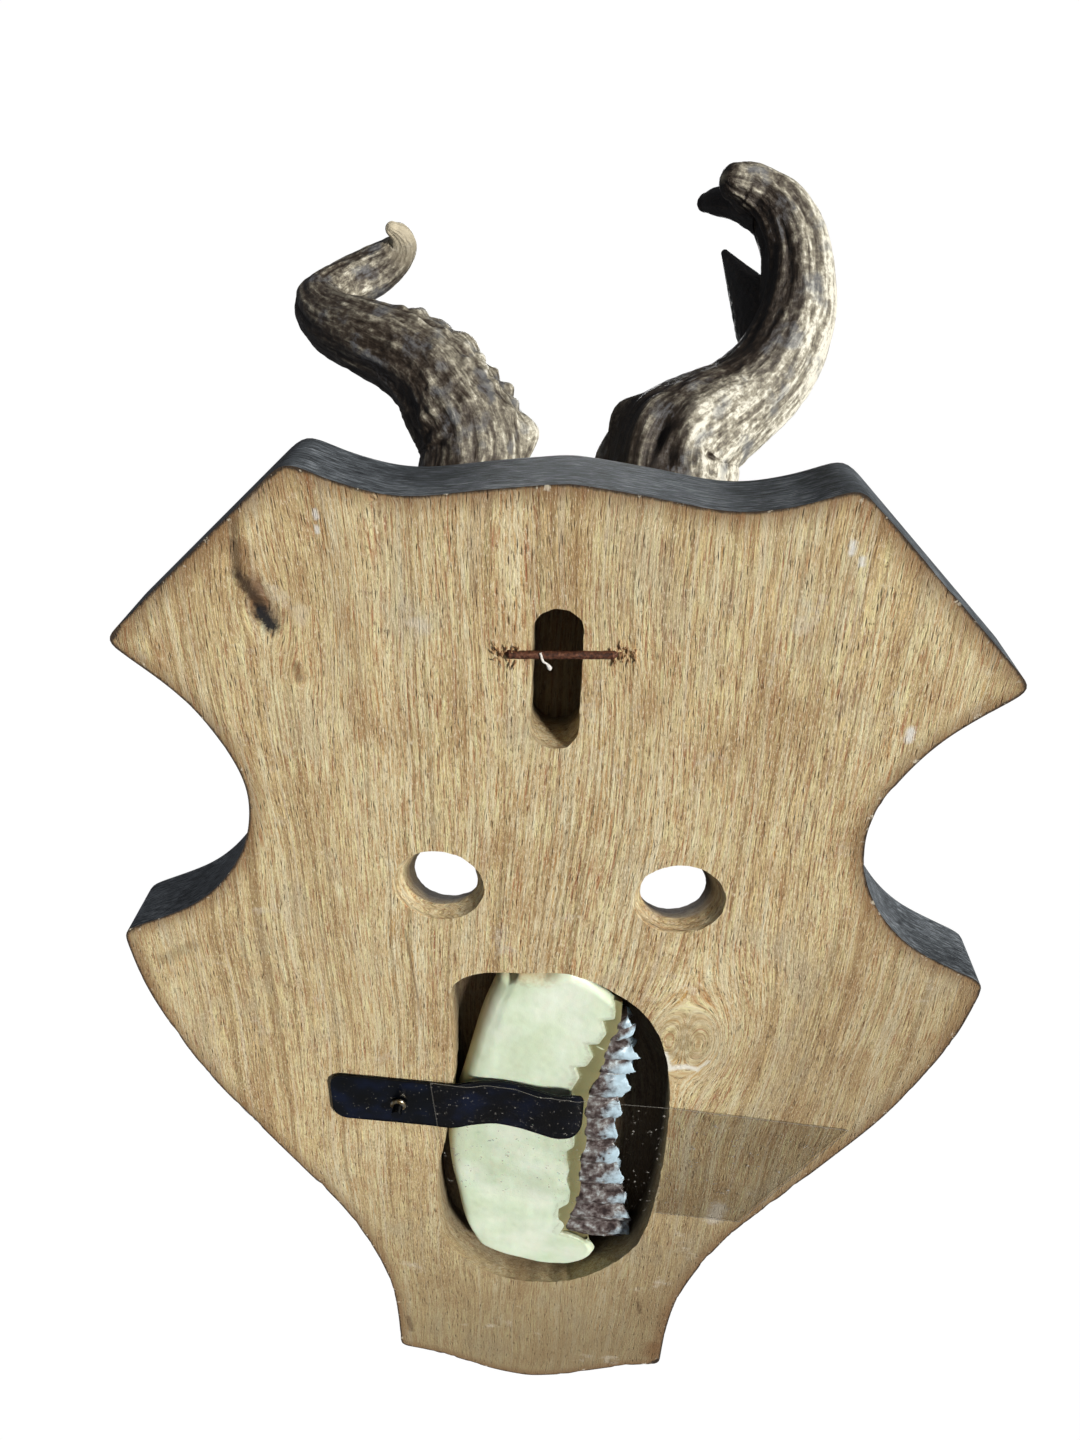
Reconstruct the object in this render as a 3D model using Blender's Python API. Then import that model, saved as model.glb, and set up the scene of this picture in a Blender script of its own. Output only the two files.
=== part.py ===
"""Roe deer antler trophy: a carved wall shield with the skull cap and antlers on its front, and half
of the lower jaw in a pocket in its back.

Units are metres, +Z is up. The back face lies in the plane Y = 0 and the front looks along -Y. The
origin is the middle of the hanging wire, where the wall nail carries the trophy. +X is the buck's left.
"""

import math
import random

import bmesh
import bpy
import numpy as np
from mathutils import Vector

MM = 0.001
GAP = 0.3 * MM

BOARD_THICK = 11.9 * MM
FRONT_EDGE_ROUND = 1.4 * MM
POCKET_DEEP = 9.0 * MM
SLOT_DEEP = 8.5 * MM
SLOT_WIDE = 6.9 * MM
SLOT_TOP = 6.7 * MM
SLOT_BOTTOM = -15.6 * MM
SLOT_X = 0.6 * MM

HOLE_X = (17.9 * MM, -20.2 * MM)
HOLE_Z = -43.4 * MM
HOLE_RIM_R = 7.35 * MM
HOLE_R = 5.2 * MM
HOLE_SINK = 2.4 * MM
HOLE_FALL = 0.74

WIRE_R = 0.6 * MM
WIRE_Y = 0.2 * MM
WIRE_LEG = 5.0 * MM
WIRE_BEND_R = 1.4 * MM

CLIP_WIDE = 12.6 * MM
CLIP_THICK = 0.55 * MM
CLIP_Z_AT_END = -97.5 * MM
CLIP_SLOPE = 0.045
CLIP_END_X = 39.5 * MM
CLIP_CORNER_R = 2.6 * MM
NAIL_X = 26.8 * MM
NAIL_R = 0.7 * MM
NAIL_HEAD_R = 1.5 * MM
NAIL_HEAD_HIGH = 0.7 * MM
NAIL_TIP_Y = -7.4 * MM

FILM_THICK = 0.1 * MM
FILM_BRIDGE_HIGH = 0.8 * MM
FILM_BRIDGE_LONG = 16.0 * MM
FILM_FALL_LONG = 9.0 * MM
FILM_STIFF_REACH = 3.0 * MM

SCREW_Z = -22.0 * MM
SCREW_R = 1.7 * MM
SCREW_HEAD_R = 3.4 * MM
SCREW_HEAD_HIGH = 2.2 * MM
SCREW_DRIVE_DEEP = 1.0 * MM
SCREW_TIP_Y = -5.5 * MM
SCREW_SEAT_Y = -34.8 * MM

CUT_PLANE_Y = -BOARD_THICK - GAP
FOREHEAD_WAVE = 1.2
SKULL_RING_STEP = 2.8
PEDICLE_ROOT = (16.0 * MM, -26.0 * MM, -15.0 * MM)
PEDICLE_BOW = Vector((0.0, -1.5 * MM, -1.0 * MM))
PEDICLE_RADII = (12.5 * MM, 9.6 * MM, 8.4 * MM, 8.8 * MM)
ORBIT_MIDDLE = (36.5 * MM, -14.0 * MM, -30.0 * MM)
ORBIT_REACH = (13.0 * MM, 11.0 * MM, 13.0 * MM)
CORONET_Y = -44.5 * MM
CORONET_Z = 1.5 * MM
CORONET_X_LEFT = 17.5 * MM
CORONET_X_RIGHT = -17.8 * MM
BEAM_SIDES = 16
POINT_SIDES = 12
BEAM_RING_STEP = 2.1 * MM
RIDGE_HIGH = 0.035

# Half of the shield's outline in mm, from the middle of the top edge to the middle of the bottom:
# each run is a smooth curve through its points, and runs meet at a corner.
OUTLINE_RUNS = (
    ((0.0, 23.9), (10.0, 22.6), (20.3, 21.2), (28.0, 22.4), (35.0, 25.0)),
    ((35.0, 25.0), (62.9, -1.5)),
    ((62.9, -1.5), (53.0, -10.9), (47.2, -22.0), (46.6, -31.0), (50.0, -40.8), (58.0, -50.2), (71.7, -57.7)),
    (
        (71.7, -57.7), (70.4, -70.0), (67.4, -81.5), (62.6, -94.6), (55.5, -108.4),
        (47.5, -123.1), (40.5, -136.1), (35.2, -150.7), (32.1, -164.6), (31.1, -178.4), (31.1, -193.6),
    ),
    ((31.1, -193.6), (24.5, -195.0), (16.0, -198.6), (8.0, -202.3), (0.0, -204.2)),
)

# The jaw pocket's mouth in mm, going round it from its top right corner as seen from behind.
POCKET_POINTS = (
    (-5.6, -62.2), (3.5, -62.0), (12.6, -63.2), (16.5, -68.1), (16.4, -82.0), (16.6, -95.0), (18.2, -108.7),
    (20.3, -122.0), (20.3, -136.0), (19.0, -146.0), (15.0, -153.0), (8.4, -158.4), (0.6, -160.2),
    (-8.4, -158.4), (-16.2, -151.6), (-21.4, -143.0), (-23.5, -132.0), (-24.3, -117.0),
    (-24.2, -101.7), (-23.0, -87.0), (-20.4, -76.5), (-15.6, -68.8),
)

# The clip's height in mm over the back face, from its nailed end to its curled free end.
CLIP_PROFILE = (
    (39.5, 0.6), (30.0, 0.6), (22.0, 0.6), (17.0, 0.65), (13.0, -0.4), (9.0, -1.1), (4.5, -0.8), (0.5, 0.1),
    (-2.5, 0.8), (-4.8, 0.7), (-6.6, 0.1), (-7.8, -0.9),
)

# The clear film's corners in mm, round from its upper corner on the clip.
FILM_CORNERS = ((20.6, -91.0), (-57.5, -98.0), (-41.5, -130.6), (18.0, -126.0))

# Half width, height at the middle and height at the side of the skull cap over its saw cut, by Z in mm.
SKULL_STATIONS = (
    (12.0, 7.0, 5.0, 1.5), (9.0, 15.0, 11.0, 3.0), (4.0, 20.0, 16.0, 5.0), (-3.0, 22.5, 19.5, 8.0),
    (-10.0, 24.5, 21.0, 10.0), (-18.0, 28.5, 21.0, 12.5), (-25.0, 31.0, 20.5, 14.0), (-32.0, 31.0, 20.0, 13.5),
    (-38.0, 27.5, 19.0, 12.0), (-43.0, 20.5, 18.0, 9.5), (-47.0, 14.0, 17.0, 8.0), (-52.0, 11.5, 16.0, 7.0),
    (-60.0, 11.0, 14.5, 6.5), (-68.0, 10.0, 12.5, 5.5), (-72.0, 7.5, 10.0, 4.5),
)

# Antler routes: X, Y, Z and radius in mm from the coronet to the tip.
LEFT_BEAM = (
    (17.5, -44.5, 1.5, 9.5), (16.5, -48.0, 6.5, 10.6), (15.7, -50.2, 10.5, 10.4), (17.8, -52.0, 13.9, 9.4),
    (20.9, -54.0, 17.7, 8.4), (25.0, -56.5, 21.1, 7.7), (30.6, -59.5, 23.8, 6.9), (37.4, -63.0, 25.4, 6.3),
    (43.9, -67.5, 26.6, 5.5), (47.5, -73.0, 28.7, 4.7), (44.8, -79.0, 30.8, 4.3), (39.9, -82.2, 33.0, 4.1),
    (35.9, -83.0, 35.7, 3.7), (33.9, -82.2, 38.2, 3.0), (34.2, -81.0, 40.1, 2.2), (35.4, -80.2, 41.0, 1.2),
)
RIGHT_BEAM = (
    (-17.8, -44.5, 1.5, 9.5), (-16.9, -48.0, 7.0, 10.8), (-17.0, -50.3, 12.0, 10.5), (-21.1, -53.0, 15.4, 9.4),
    (-26.8, -56.8, 18.4, 8.0), (-31.6, -60.2, 22.3, 7.4), (-34.7, -63.8, 27.0, 7.0), (-36.1, -67.0, 32.1, 6.5),
    (-36.1, -70.0, 37.2, 5.9), (-35.1, -72.8, 41.7, 5.5), (-32.5, -75.0, 46.0, 4.9), (-29.2, -76.0, 48.6, 4.1),
    (-25.8, -75.4, 50.2, 3.1), (-23.4, -74.4, 50.8, 2.0),
)
RIGHT_SECOND_POINT = (
    (-30.6, -76.0, 45.6, 3.6), (-26.2, -80.6, 46.7, 2.5), (-22.6, -83.8, 46.5, 1.7), (-20.0, -86.0, 45.9, 0.7),
)
RIGHT_TINE = (
    (-35.0, -64.5, 26.5, 5.6), (-31.8, -69.5, 30.0, 5.0), (-29.1, -74.4, 33.0, 3.7), (-26.9, -79.2, 35.8, 2.1),
    (-25.0, -83.6, 38.2, 0.7),
)

# The jaw bone's lower and tooth-side edges in mm by Z: it is sawn off at both ends.
JAW_STATIONS = (
    (-66.0, 6.2, -4.6), (-68.5, 8.2, -9.2), (-72.0, 9.6, -11.8), (-76.5, 11.1, -11.4), (-83.0, 12.8, -9.9),
    (-90.0, 14.5, -8.7), (-98.0, 15.9, -8.2), (-106.0, 17.2, -7.9), (-113.0, 18.0, -7.6), (-120.0, 18.4, -7.3),
    (-127.5, 18.2, -7.2), (-135.0, 17.4, -6.6), (-142.0, 16.6, -6.5), (-146.5, 15.6, -7.3),
    (-149.5, 14.9, -12.0), (-152.5, 12.9, -12.4), (-155.5, 9.8, -9.6), (-157.6, 4.6, -4.0),
)
JAW_CROWN_Y = -1.9 * MM
JAW_FLOOR_Y = -POCKET_DEEP + GAP
JAW_RING_STEP = 2.7

# Each tooth: name, front end, back end in mm, and how many cusps stand in its row.
TEETH = (
    ("premolar_2", -75.2, -82.3, 1),
    ("premolar_3", -82.6, -92.3, 2),
    ("premolar_4", -92.6, -99.2, 1),
    ("molar_1", -99.5, -113.6, 2),
    ("molar_2", -113.9, -129.0, 2),
    ("molar_3", -129.3, -147.8, 3),
)
CUSP_LINE = ((-76.0, -16.0), (-87.0, -17.8), (-105.0, -15.2), (-124.0, -17.4), (-140.0, -20.4), (-147.8, -18.0))
CUSP_HIGH = 1.6
TOOTH_CHEEK_Y = -3.3
TOOTH_TONGUE_Y = -8.3
ROOT_R = 1.3 * MM
ROOT_DEEP = 3.5 * MM


def clear_scene():
    for obj in list(bpy.data.objects):
        bpy.data.objects.remove(obj)


def principled(name, colour, roughness, metallic=0.0):
    made = bpy.data.materials.new(name)
    made.use_nodes = True
    shader = made.node_tree.nodes["Principled BSDF"]
    shader.inputs["Base Color"].default_value = (*colour, 1.0)
    shader.inputs["Roughness"].default_value = roughness
    shader.inputs["Metallic"].default_value = metallic
    return made


def add_object(name, bm, *materials):
    """The bmesh as an object, with its faces turned outwards and its gentle edges shaded smooth."""
    bmesh.ops.recalc_face_normals(bm, faces=bm.faces)
    mesh = bpy.data.meshes.new(name)
    bm.to_mesh(mesh)
    bm.free()
    for made in materials:
        mesh.materials.append(made)
    mesh.shade_smooth()
    mesh.set_sharp_from_angle(angle=math.radians(35))
    obj = bpy.data.objects.new(name, mesh)
    bpy.context.scene.collection.objects.link(obj)
    return obj


def as_helper(obj):
    obj.hide_render = True
    obj.display_type = "WIRE"
    return obj


def combine(target, other, operation):
    modifier = target.modifiers.new(f"{operation.lower()} {other.name}", "BOOLEAN")
    modifier.operation = operation
    modifier.object = as_helper(other)
    modifier.solver = "EXACT"


def smooth_curve(points, steps):
    """Points on a Catmull-Rom curve that passes through all the given points."""
    knots = np.array(points, float)
    before = 2 * knots[0] - knots[1]
    after = 2 * knots[-1] - knots[-2]
    padded = np.vstack([before, knots, after])
    found = []
    for k in range(len(knots) - 1):
        a, b, c, d = padded[k : k + 4]
        for t in np.arange(steps) / steps:
            cubic = 2 * b + (c - a) * t + (2 * a - 5 * b + 4 * c - d) * t**2 + (3 * b - a - 3 * c + d) * t**3
            found.append(cubic / 2)
    found.append(knots[-1])
    return np.array(found)


def even_steps(curve, spacing):
    """The curve again, with its points about one spacing apart along its first three values."""
    lengths = np.linalg.norm(np.diff(curve[:, :3], axis=0), axis=1)
    along = np.concatenate([[0.0], np.cumsum(lengths)])
    wanted = np.linspace(0.0, along[-1], max(2, round(along[-1] / spacing)) + 1)
    return np.stack([np.interp(wanted, along, column) for column in curve.T], axis=1)


def skin_rings(bm, rings, close_start=True, close_end=True):
    """Quads between each ring of points and the next, with a face over each end."""
    rows = [[bm.verts.new(point) for point in ring] for ring in rings]
    for low, high in zip(rows, rows[1:]):
        count = len(low)
        for k in range(count):
            after = (k + 1) % count
            bm.faces.new((low[k], low[after], high[after], high[k]))
    if close_start:
        bm.faces.new(rows[0][::-1])
    if close_end:
        bm.faces.new(rows[-1])
    return rows


def tube_rings(route, sides, relief=None, start_normal=None):
    """Rings round a route of X, Y, Z and radius. The relief is a factor on the radius by ring and side."""
    centres = route[:, :3]
    along = np.gradient(centres, axis=0)
    along /= np.linalg.norm(along, axis=1)[:, None]
    if start_normal is not None:
        along[0] = start_normal
    side = Vector((0.0, 0.0, 1.0)) if abs(along[0][0]) > 0.9 else Vector((1.0, 0.0, 0.0))
    rings = []
    for number, (centre, heading) in enumerate(zip(centres, along)):
        forward = Vector(heading)
        side = (side - forward * side.dot(forward)).normalized()
        across = forward.cross(side)
        ring = []
        for k in range(sides):
            angle = 2 * math.pi * k / sides
            reach = route[number, 3] * (relief(number, k) if relief else 1.0)
            ring.append(Vector(centre) + (side * math.cos(angle) + across * math.sin(angle)) * reach)
        rings.append(ring)
    return rings


def add_tube(name, route, sides, *materials, relief=None, start_normal=None):
    bm = bmesh.new()
    skin_rings(bm, tube_rings(route, sides, relief, start_normal))
    return add_object(name, bm, *materials)


def prism(name, outline, y_low, y_high, *materials):
    """A solid with the outline of X and Z points, between two heights on Y."""
    bm = bmesh.new()
    rings = [[Vector((x, y, z)) for x, z in outline] for y in (y_low, y_high)]
    skin_rings(bm, rings)
    return add_object(name, bm, *materials)


def bore(name, x, z, radius, y_low, y_high):
    circle = [
        (x + radius * math.cos(a), z + radius * math.sin(a))
        for a in np.linspace(0, 2 * math.pi, 12, endpoint=False)
    ]
    return prism(name, circle, y_low, y_high)


def shield_outline():
    """The whole outline in metres, round from the top middle: right half first, then its mirror image."""
    half = [(0.0, OUTLINE_RUNS[0][0][1])]
    for run in OUTLINE_RUNS:
        steps = 2 if len(run) > 2 else 1
        half.extend(smooth_curve(run, steps)[1:])
    half = np.array(half)
    mirrored = half[-2:0:-1] * (-1.0, 1.0)
    return np.vstack([half, mirrored]) * MM


def slot_outline():
    radius = SLOT_WIDE / 2
    ends = []
    for middle_z, first in ((SLOT_TOP - radius, 0.0), (SLOT_BOTTOM + radius, math.pi)):
        for angle in np.linspace(first, first + math.pi, 8):
            ends.append((SLOT_X + radius * math.cos(angle), middle_z + radius * math.sin(angle)))
    return ends


def hole_cutter(x):
    """A countersink at the back face, then a round bore that falls towards the front."""
    over = 0.6 * MM
    widen = (HOLE_RIM_R - HOLE_R) / HOLE_SINK
    past = 1.0 * MM
    fall = (BOARD_THICK + past - HOLE_SINK) * HOLE_FALL
    stages = (
        (over, HOLE_RIM_R + widen * over, 0.0),
        (-HOLE_SINK, HOLE_R, 0.0),
        (-BOARD_THICK - past, HOLE_R, fall),
    )
    rings = []
    for y, radius, drop in stages:
        ring = []
        for angle in np.linspace(0, 2 * math.pi, 24, endpoint=False):
            ring.append(Vector((x + radius * math.cos(angle), y, HOLE_Z - drop + radius * math.sin(angle))))
        rings.append(ring)
    bm = bmesh.new()
    skin_rings(bm, rings)
    return add_object("hole_cutter", bm)


def wire_route(radius):
    """The staple: out of the wood, across the slot, and back into the wood."""
    points = []
    for x, z, order in ((7.6 * MM, -0.3 * MM, 1), (-7.4 * MM, 0.4 * MM, -1)):
        centre_x = x - math.copysign(WIRE_BEND_R, x)
        centre_y = WIRE_Y - WIRE_BEND_R
        leg = [(x, WIRE_Y - WIRE_LEG, z)]
        for angle in np.linspace(0, math.pi / 2, 4):
            reach = math.copysign(WIRE_BEND_R, x) * math.cos(angle)
            leg.append((centre_x + reach, centre_y + WIRE_BEND_R * math.sin(angle), z))
        points.extend(leg[::order])
    return np.array([(*point, radius) for point in points])


def make_board(raw_oak, black_stain):
    outline = shield_outline()
    bm = bmesh.new()
    rings = [[Vector((x, y, z)) for x, z in outline] for y in (0.0, -BOARD_THICK)]
    skin_rings(bm, rings)
    bmesh.ops.recalc_face_normals(bm, faces=bm.faces)
    front = [edge for edge in bm.edges if all(vert.co.y < -BOARD_THICK / 2 for vert in edge.verts)]
    bmesh.ops.bevel(bm, geom=front, offset=FRONT_EDGE_ROUND, segments=2, profile=0.5, affect="EDGES")
    for face in bm.faces:
        face.material_index = 0 if face.normal.y > 0.9 else 1
    board = add_object("shield_board", bm, raw_oak, black_stain)

    pocket = np.array(POCKET_POINTS) * MM
    over = 1.0 * MM
    cutters = [
        prism("pocket_cutter", pocket, -POCKET_DEEP, over),
        prism("slot_cutter", slot_outline(), -SLOT_DEEP, over),
        hole_cutter(HOLE_X[0]),
        hole_cutter(HOLE_X[1]),
        add_tube("wire_bed_cutter", wire_route(WIRE_R + GAP), 8),
        bore("nail_bore_cutter", NAIL_X, clip_z(NAIL_X), NAIL_R + GAP, NAIL_TIP_Y - GAP, over),
        bore("screw_bore_cutter", 0.0, SCREW_Z, SCREW_R + GAP, -BOARD_THICK - over, SCREW_TIP_Y + GAP),
    ]
    for cutter in cutters:
        combine(board, cutter, "DIFFERENCE")
    return board


def skull_height(share, middle, edge):
    """Height in mm over the saw cut, at a share of the half width: flat on top, rounded at the side.

    A low wave across the forehead raises the midline and the rims of the eye sockets.
    """
    wave = FOREHEAD_WAVE * math.cos(5.0 * share) * min(1.0, middle / 18)
    fall = abs(share) ** 3.2
    return (middle + wave) * (1 - fall) + edge * fall


def make_skull(bone):
    columns = 17
    shares = np.linspace(-1.0, 1.0, columns)
    rows = [(z, 0.0, 0.0, wide, middle, edge) for z, wide, middle, edge in SKULL_STATIONS]
    stations = even_steps(smooth_curve(rows, 6), SKULL_RING_STEP)
    rings = []
    for z, _, _, wide, middle, edge in stations:
        top = [
            Vector((share * wide * MM, CUT_PLANE_Y - skull_height(share, middle, edge) * MM, z * MM))
            for share in shares
        ]
        under = [Vector((share * wide * MM, CUT_PLANE_Y, z * MM)) for share in shares[::-2]]
        rings.append(top + under)
    bm = bmesh.new()
    skin_rings(bm, rings)
    skull = add_object("skull_cap", bm, bone)
    for x, beam in ((CORONET_X_LEFT, LEFT_BEAM), (CORONET_X_RIGHT, RIGHT_BEAM)):
        combine(skull, pedicle(x, coronet_heading(beam)), "UNION")
        combine(skull, orbit_cutter(math.copysign(1.0, x)), "DIFFERENCE")
    passage = bore("screw_passage_cutter", 0.0, SCREW_Z, SCREW_R + GAP, -45.0 * MM, -8.0 * MM)
    combine(skull, passage, "DIFFERENCE")
    return skull


def coronet_heading(beam):
    first, second = (Vector(row[:3]) for row in beam[:2])
    return (second - first).normalized()


def pedicle(x, lean):
    """The bony stump under an antler, flared into the frontal bone."""
    top = Vector((x, CORONET_Y, CORONET_Z)) - lean * GAP
    root_x, root_y, root_z = PEDICLE_ROOT
    root = Vector((math.copysign(root_x, x), root_y, root_z))
    middle = (top + root) / 2 + PEDICLE_BOW
    neck = top - lean * 3 * MM
    rows = [(*point, radius) for point, radius in zip((root, middle, neck, top), PEDICLE_RADII)]
    route = even_steps(smooth_curve(rows, 5), 3.2 * MM)
    bm = bmesh.new()
    rings = tube_rings(route, 16)
    flat = route[-1, :3]
    rings[-1] = [point - lean * (point - Vector(flat)).dot(lean) for point in rings[-1]]
    skin_rings(bm, rings)
    return add_object("pedicle", bm)


def orbit_cutter(side):
    bm = bmesh.new()
    bmesh.ops.create_uvsphere(bm, u_segments=16, v_segments=10, radius=1.0)
    for vert in bm.verts:
        vert.co = Vector(middle + reach * c for middle, reach, c in zip(ORBIT_MIDDLE, ORBIT_REACH, vert.co))
        vert.co.x += (side - 1) * ORBIT_MIDDLE[0]
    return add_object("orbit_cutter", bm)


def pearl_relief(rings, sides, pearled, seed):
    """Knobs on some of the points of the lower rings, a row of them round the coronet, and long ridges."""
    draw = random.Random(seed)
    knobs = {}
    for number in range(3, int(rings * pearled)):
        fade = 1 - number / (rings * pearled)
        for k in range(sides):
            if draw.random() < 0.16 + 0.2 * fade:
                knobs[number, k] = 0.10 + 0.08 * draw.random()

    def relief(number, k):
        if number == 1:
            return 1.20 + 0.10 * (k % 2)
        if number == 2:
            return 1.12 - 0.06 * (k % 2)
        ridge = RIDGE_HIGH * math.cos(2 * math.pi * 4 * k / sides)
        return 1.0 + ridge + knobs.get((number, k), 0.0)

    return relief


def beam_route(beam):
    return even_steps(smooth_curve(np.array(beam) * MM, 6), BEAM_RING_STEP)


def make_antler(name, beam, pearled, seed, antler):
    route = beam_route(beam)
    relief = pearl_relief(len(route), BEAM_SIDES, pearled, seed)
    return add_tube(name, route, BEAM_SIDES, antler, relief=relief, start_normal=coronet_heading(beam))


def make_right_antler(antler):
    """The right beam has a second point fused on at its top, and its front tine is a piece of its own."""
    beam = make_antler("antler_right", RIGHT_BEAM, 0.30, 5, antler)
    combine(beam, add_tube("second_point", beam_route(RIGHT_SECOND_POINT), POINT_SIDES), "UNION")

    tine = add_tube("antler_right_tine", beam_route(RIGHT_TINE), POINT_SIDES, antler)
    fatter = beam_route(RIGHT_BEAM)
    fatter[:, 3] = fatter[:, 3] * (1.0 + RIDGE_HIGH) + GAP
    combine(tine, add_tube("beam_cutter", fatter, BEAM_SIDES), "DIFFERENCE")
    return beam, tine


def make_jaw_bone(bone):
    rows = [(z, 0.0, 0.0, low, tooth) for z, low, tooth in JAW_STATIONS]
    stations = even_steps(smooth_curve(rows, 4), JAW_RING_STEP)
    middle_y = (JAW_CROWN_Y + JAW_FLOOR_Y) / 2
    half_thick = (JAW_CROWN_Y - JAW_FLOOR_Y) / 2
    first, last = stations[0, 0], stations[-1, 0]
    rings = []
    for z, _, _, low, tooth in stations:
        end_taper = min(1.0, 0.72 + 0.09 * min(abs(z - first), abs(z - last)))
        middle_x = (low + tooth) / 2 * MM
        half_wide = abs(low - tooth) / 2 * MM
        ring = []
        for angle in np.linspace(0, 2 * math.pi, 18, endpoint=False):
            c, s = math.cos(angle), math.sin(angle)
            blunt = 0.55 if c < 0 else 0.85
            x = middle_x + half_wide * math.copysign(abs(c) ** blunt, c)
            y = middle_y + half_thick * end_taper * math.copysign(abs(s) ** 0.75, s)
            ring.append(Vector((x, y, z * MM)))
        rings.append(ring)
    bm = bmesh.new()
    skin_rings(bm, rings)
    jaw = add_object("jaw_bone", bm, bone)
    for name, front, back, cusps in TEETH:
        for z in root_places(front, back, cusps):
            socket = root_peg(f"{name}_socket_cutter", z, ROOT_R + GAP, ROOT_DEEP + GAP)
            combine(jaw, socket, "DIFFERENCE")
    return jaw


def tooth_side_x(z):
    """X of the bone's tooth-side edge, in mm."""
    rows = sorted(JAW_STATIONS)
    return float(np.interp(z, [row[0] for row in rows], [row[2] for row in rows]))


def root_places(front, back, cusps):
    roots = 1 if cusps == 1 else 2
    return [front + (back - front) * (k + 0.5) / roots for k in range(roots)]


def root_peg(name, z, radius, deep):
    """A root peg along X, from inside the crown into the bone."""
    y = (TOOTH_CHEEK_Y + TOOTH_TONGUE_Y) / 2 * MM
    edge = tooth_side_x(z) * MM
    route = np.array([(edge - 2.0 * MM, y, z * MM, radius), (edge + deep, y, z * MM, radius * 0.8)])
    return add_tube(name, route, 8)


def make_tooth(name, front, back, cusps, enamel):
    """A crown with a zigzag row of cusps on each side of a groove, on one or two root pegs."""
    columns = 2 * cusps + 1
    lines = sorted(CUSP_LINE)
    cheek, groove, tongue = [], [], []
    for k in range(columns):
        z = front + (back - front) * k / (columns - 1)
        tip = float(np.interp(z, [row[0] for row in lines], [row[1] for row in lines]))
        valley = 0.0 if k % 2 else CUSP_HIGH
        inset = 0.5 if k in (0, columns - 1) else 0.0
        cheek.append(Vector((tip + valley + inset, TOOTH_CHEEK_Y, z)))
        groove.append(Vector((tip + CUSP_HIGH * 0.9, (TOOTH_CHEEK_Y + TOOTH_TONGUE_Y) / 2, z)))
        tongue.append(Vector((tip + 0.4 + valley * 0.7 + inset, TOOTH_TONGUE_Y, z)))
    rim = cheek + [groove[-1]] + tongue[::-1] + [groove[0]]
    centre_y = (TOOTH_CHEEK_Y + TOOTH_TONGUE_Y) / 2
    centre_z = (front + back) / 2

    def narrowed(point, x, share_y, share_z):
        z = centre_z + (point.z - centre_z) * share_z
        return Vector((x(z), centre_y + (point.y - centre_y) * share_y, z))

    belly = [narrowed(point, lambda z: (tooth_side_x(z) + point.x) / 2, 1.0, 1.0) for point in rim]
    neck = [narrowed(point, lambda z: tooth_side_x(z) - GAP / MM, 0.82, 0.93) for point in rim]
    bm = bmesh.new()
    rows = skin_rings(bm, [[p * MM for p in ring] for ring in (neck, belly, rim)], close_end=False)
    top = rows[-1]
    cheek_verts = top[:columns]
    tongue_verts = top[columns + 1 : 2 * columns + 1][::-1]
    groove_verts = [top[-1]] + [bm.verts.new(p * MM) for p in groove[1:-1]] + [top[columns]]
    for k in range(columns - 1):
        bm.faces.new((cheek_verts[k], cheek_verts[k + 1], groove_verts[k + 1], groove_verts[k]))
        bm.faces.new((groove_verts[k], groove_verts[k + 1], tongue_verts[k + 1], tongue_verts[k]))
    tooth = add_object(name, bm, enamel)
    for z in root_places(front, back, cusps):
        combine(tooth, root_peg(f"{name}_root", z, ROOT_R, ROOT_DEEP), "UNION")
    return tooth


def clip_z(x):
    return CLIP_Z_AT_END - CLIP_SLOPE * (CLIP_END_X - x)


def clip_y(x):
    """Height of the clip's middle surface over the back face."""
    curve = smooth_curve(CLIP_PROFILE, 4)[::-1] * MM
    return float(np.interp(x, curve[:, 0], curve[:, 1]))


def make_clip(blued_steel):
    """A flat strip with rounded corners, bent along its length so that it presses on the jaw."""
    curve = even_steps(np.pad(smooth_curve(CLIP_PROFILE, 6) * MM, ((0, 0), (0, 2))), 1.6 * MM)
    slopes = np.gradient(curve[:, :2], axis=0)
    ends = curve[0, 0], curve[-1, 0]
    rings = []
    for (x, y, _, _), (step_x, step_y) in zip(curve, slopes):
        from_end = min(abs(x - end) for end in ends)
        short = max(0.0, CLIP_CORNER_R - from_end)
        half = CLIP_WIDE / 2 - CLIP_CORNER_R + math.sqrt(CLIP_CORNER_R**2 - short**2)
        normal = Vector((-step_y, 0.0, step_x)).normalized() * CLIP_THICK / 2
        across = Vector((normal.x, normal.z, 0.0))
        middle = Vector((x, y, clip_z(x)))
        up = Vector((0.0, 0.0, half))
        rings.append([middle + across + up, middle - across + up, middle - across - up, middle + across - up])
    bm = bmesh.new()
    skin_rings(bm, rings)
    clip = add_object("jaw_clip", bm, blued_steel)
    combine(clip, bore("clip_hole_cutter", NAIL_X, clip_z(NAIL_X), NAIL_R + GAP, -3 * MM, 4 * MM), "DIFFERENCE")
    return clip


def turned(name, x, z, profile, sides, *materials):
    """A solid turned about the line along Y through X and Z, from a profile of Y and radius."""
    rings = []
    for y, radius in profile:
        ring = []
        for angle in np.linspace(0, 2 * math.pi, sides, endpoint=False):
            ring.append(Vector((x + radius * math.cos(angle), y, z + radius * math.sin(angle))))
        rings.append(ring)
    bm = bmesh.new()
    skin_rings(bm, rings)
    return add_object(name, bm, *materials)


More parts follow.
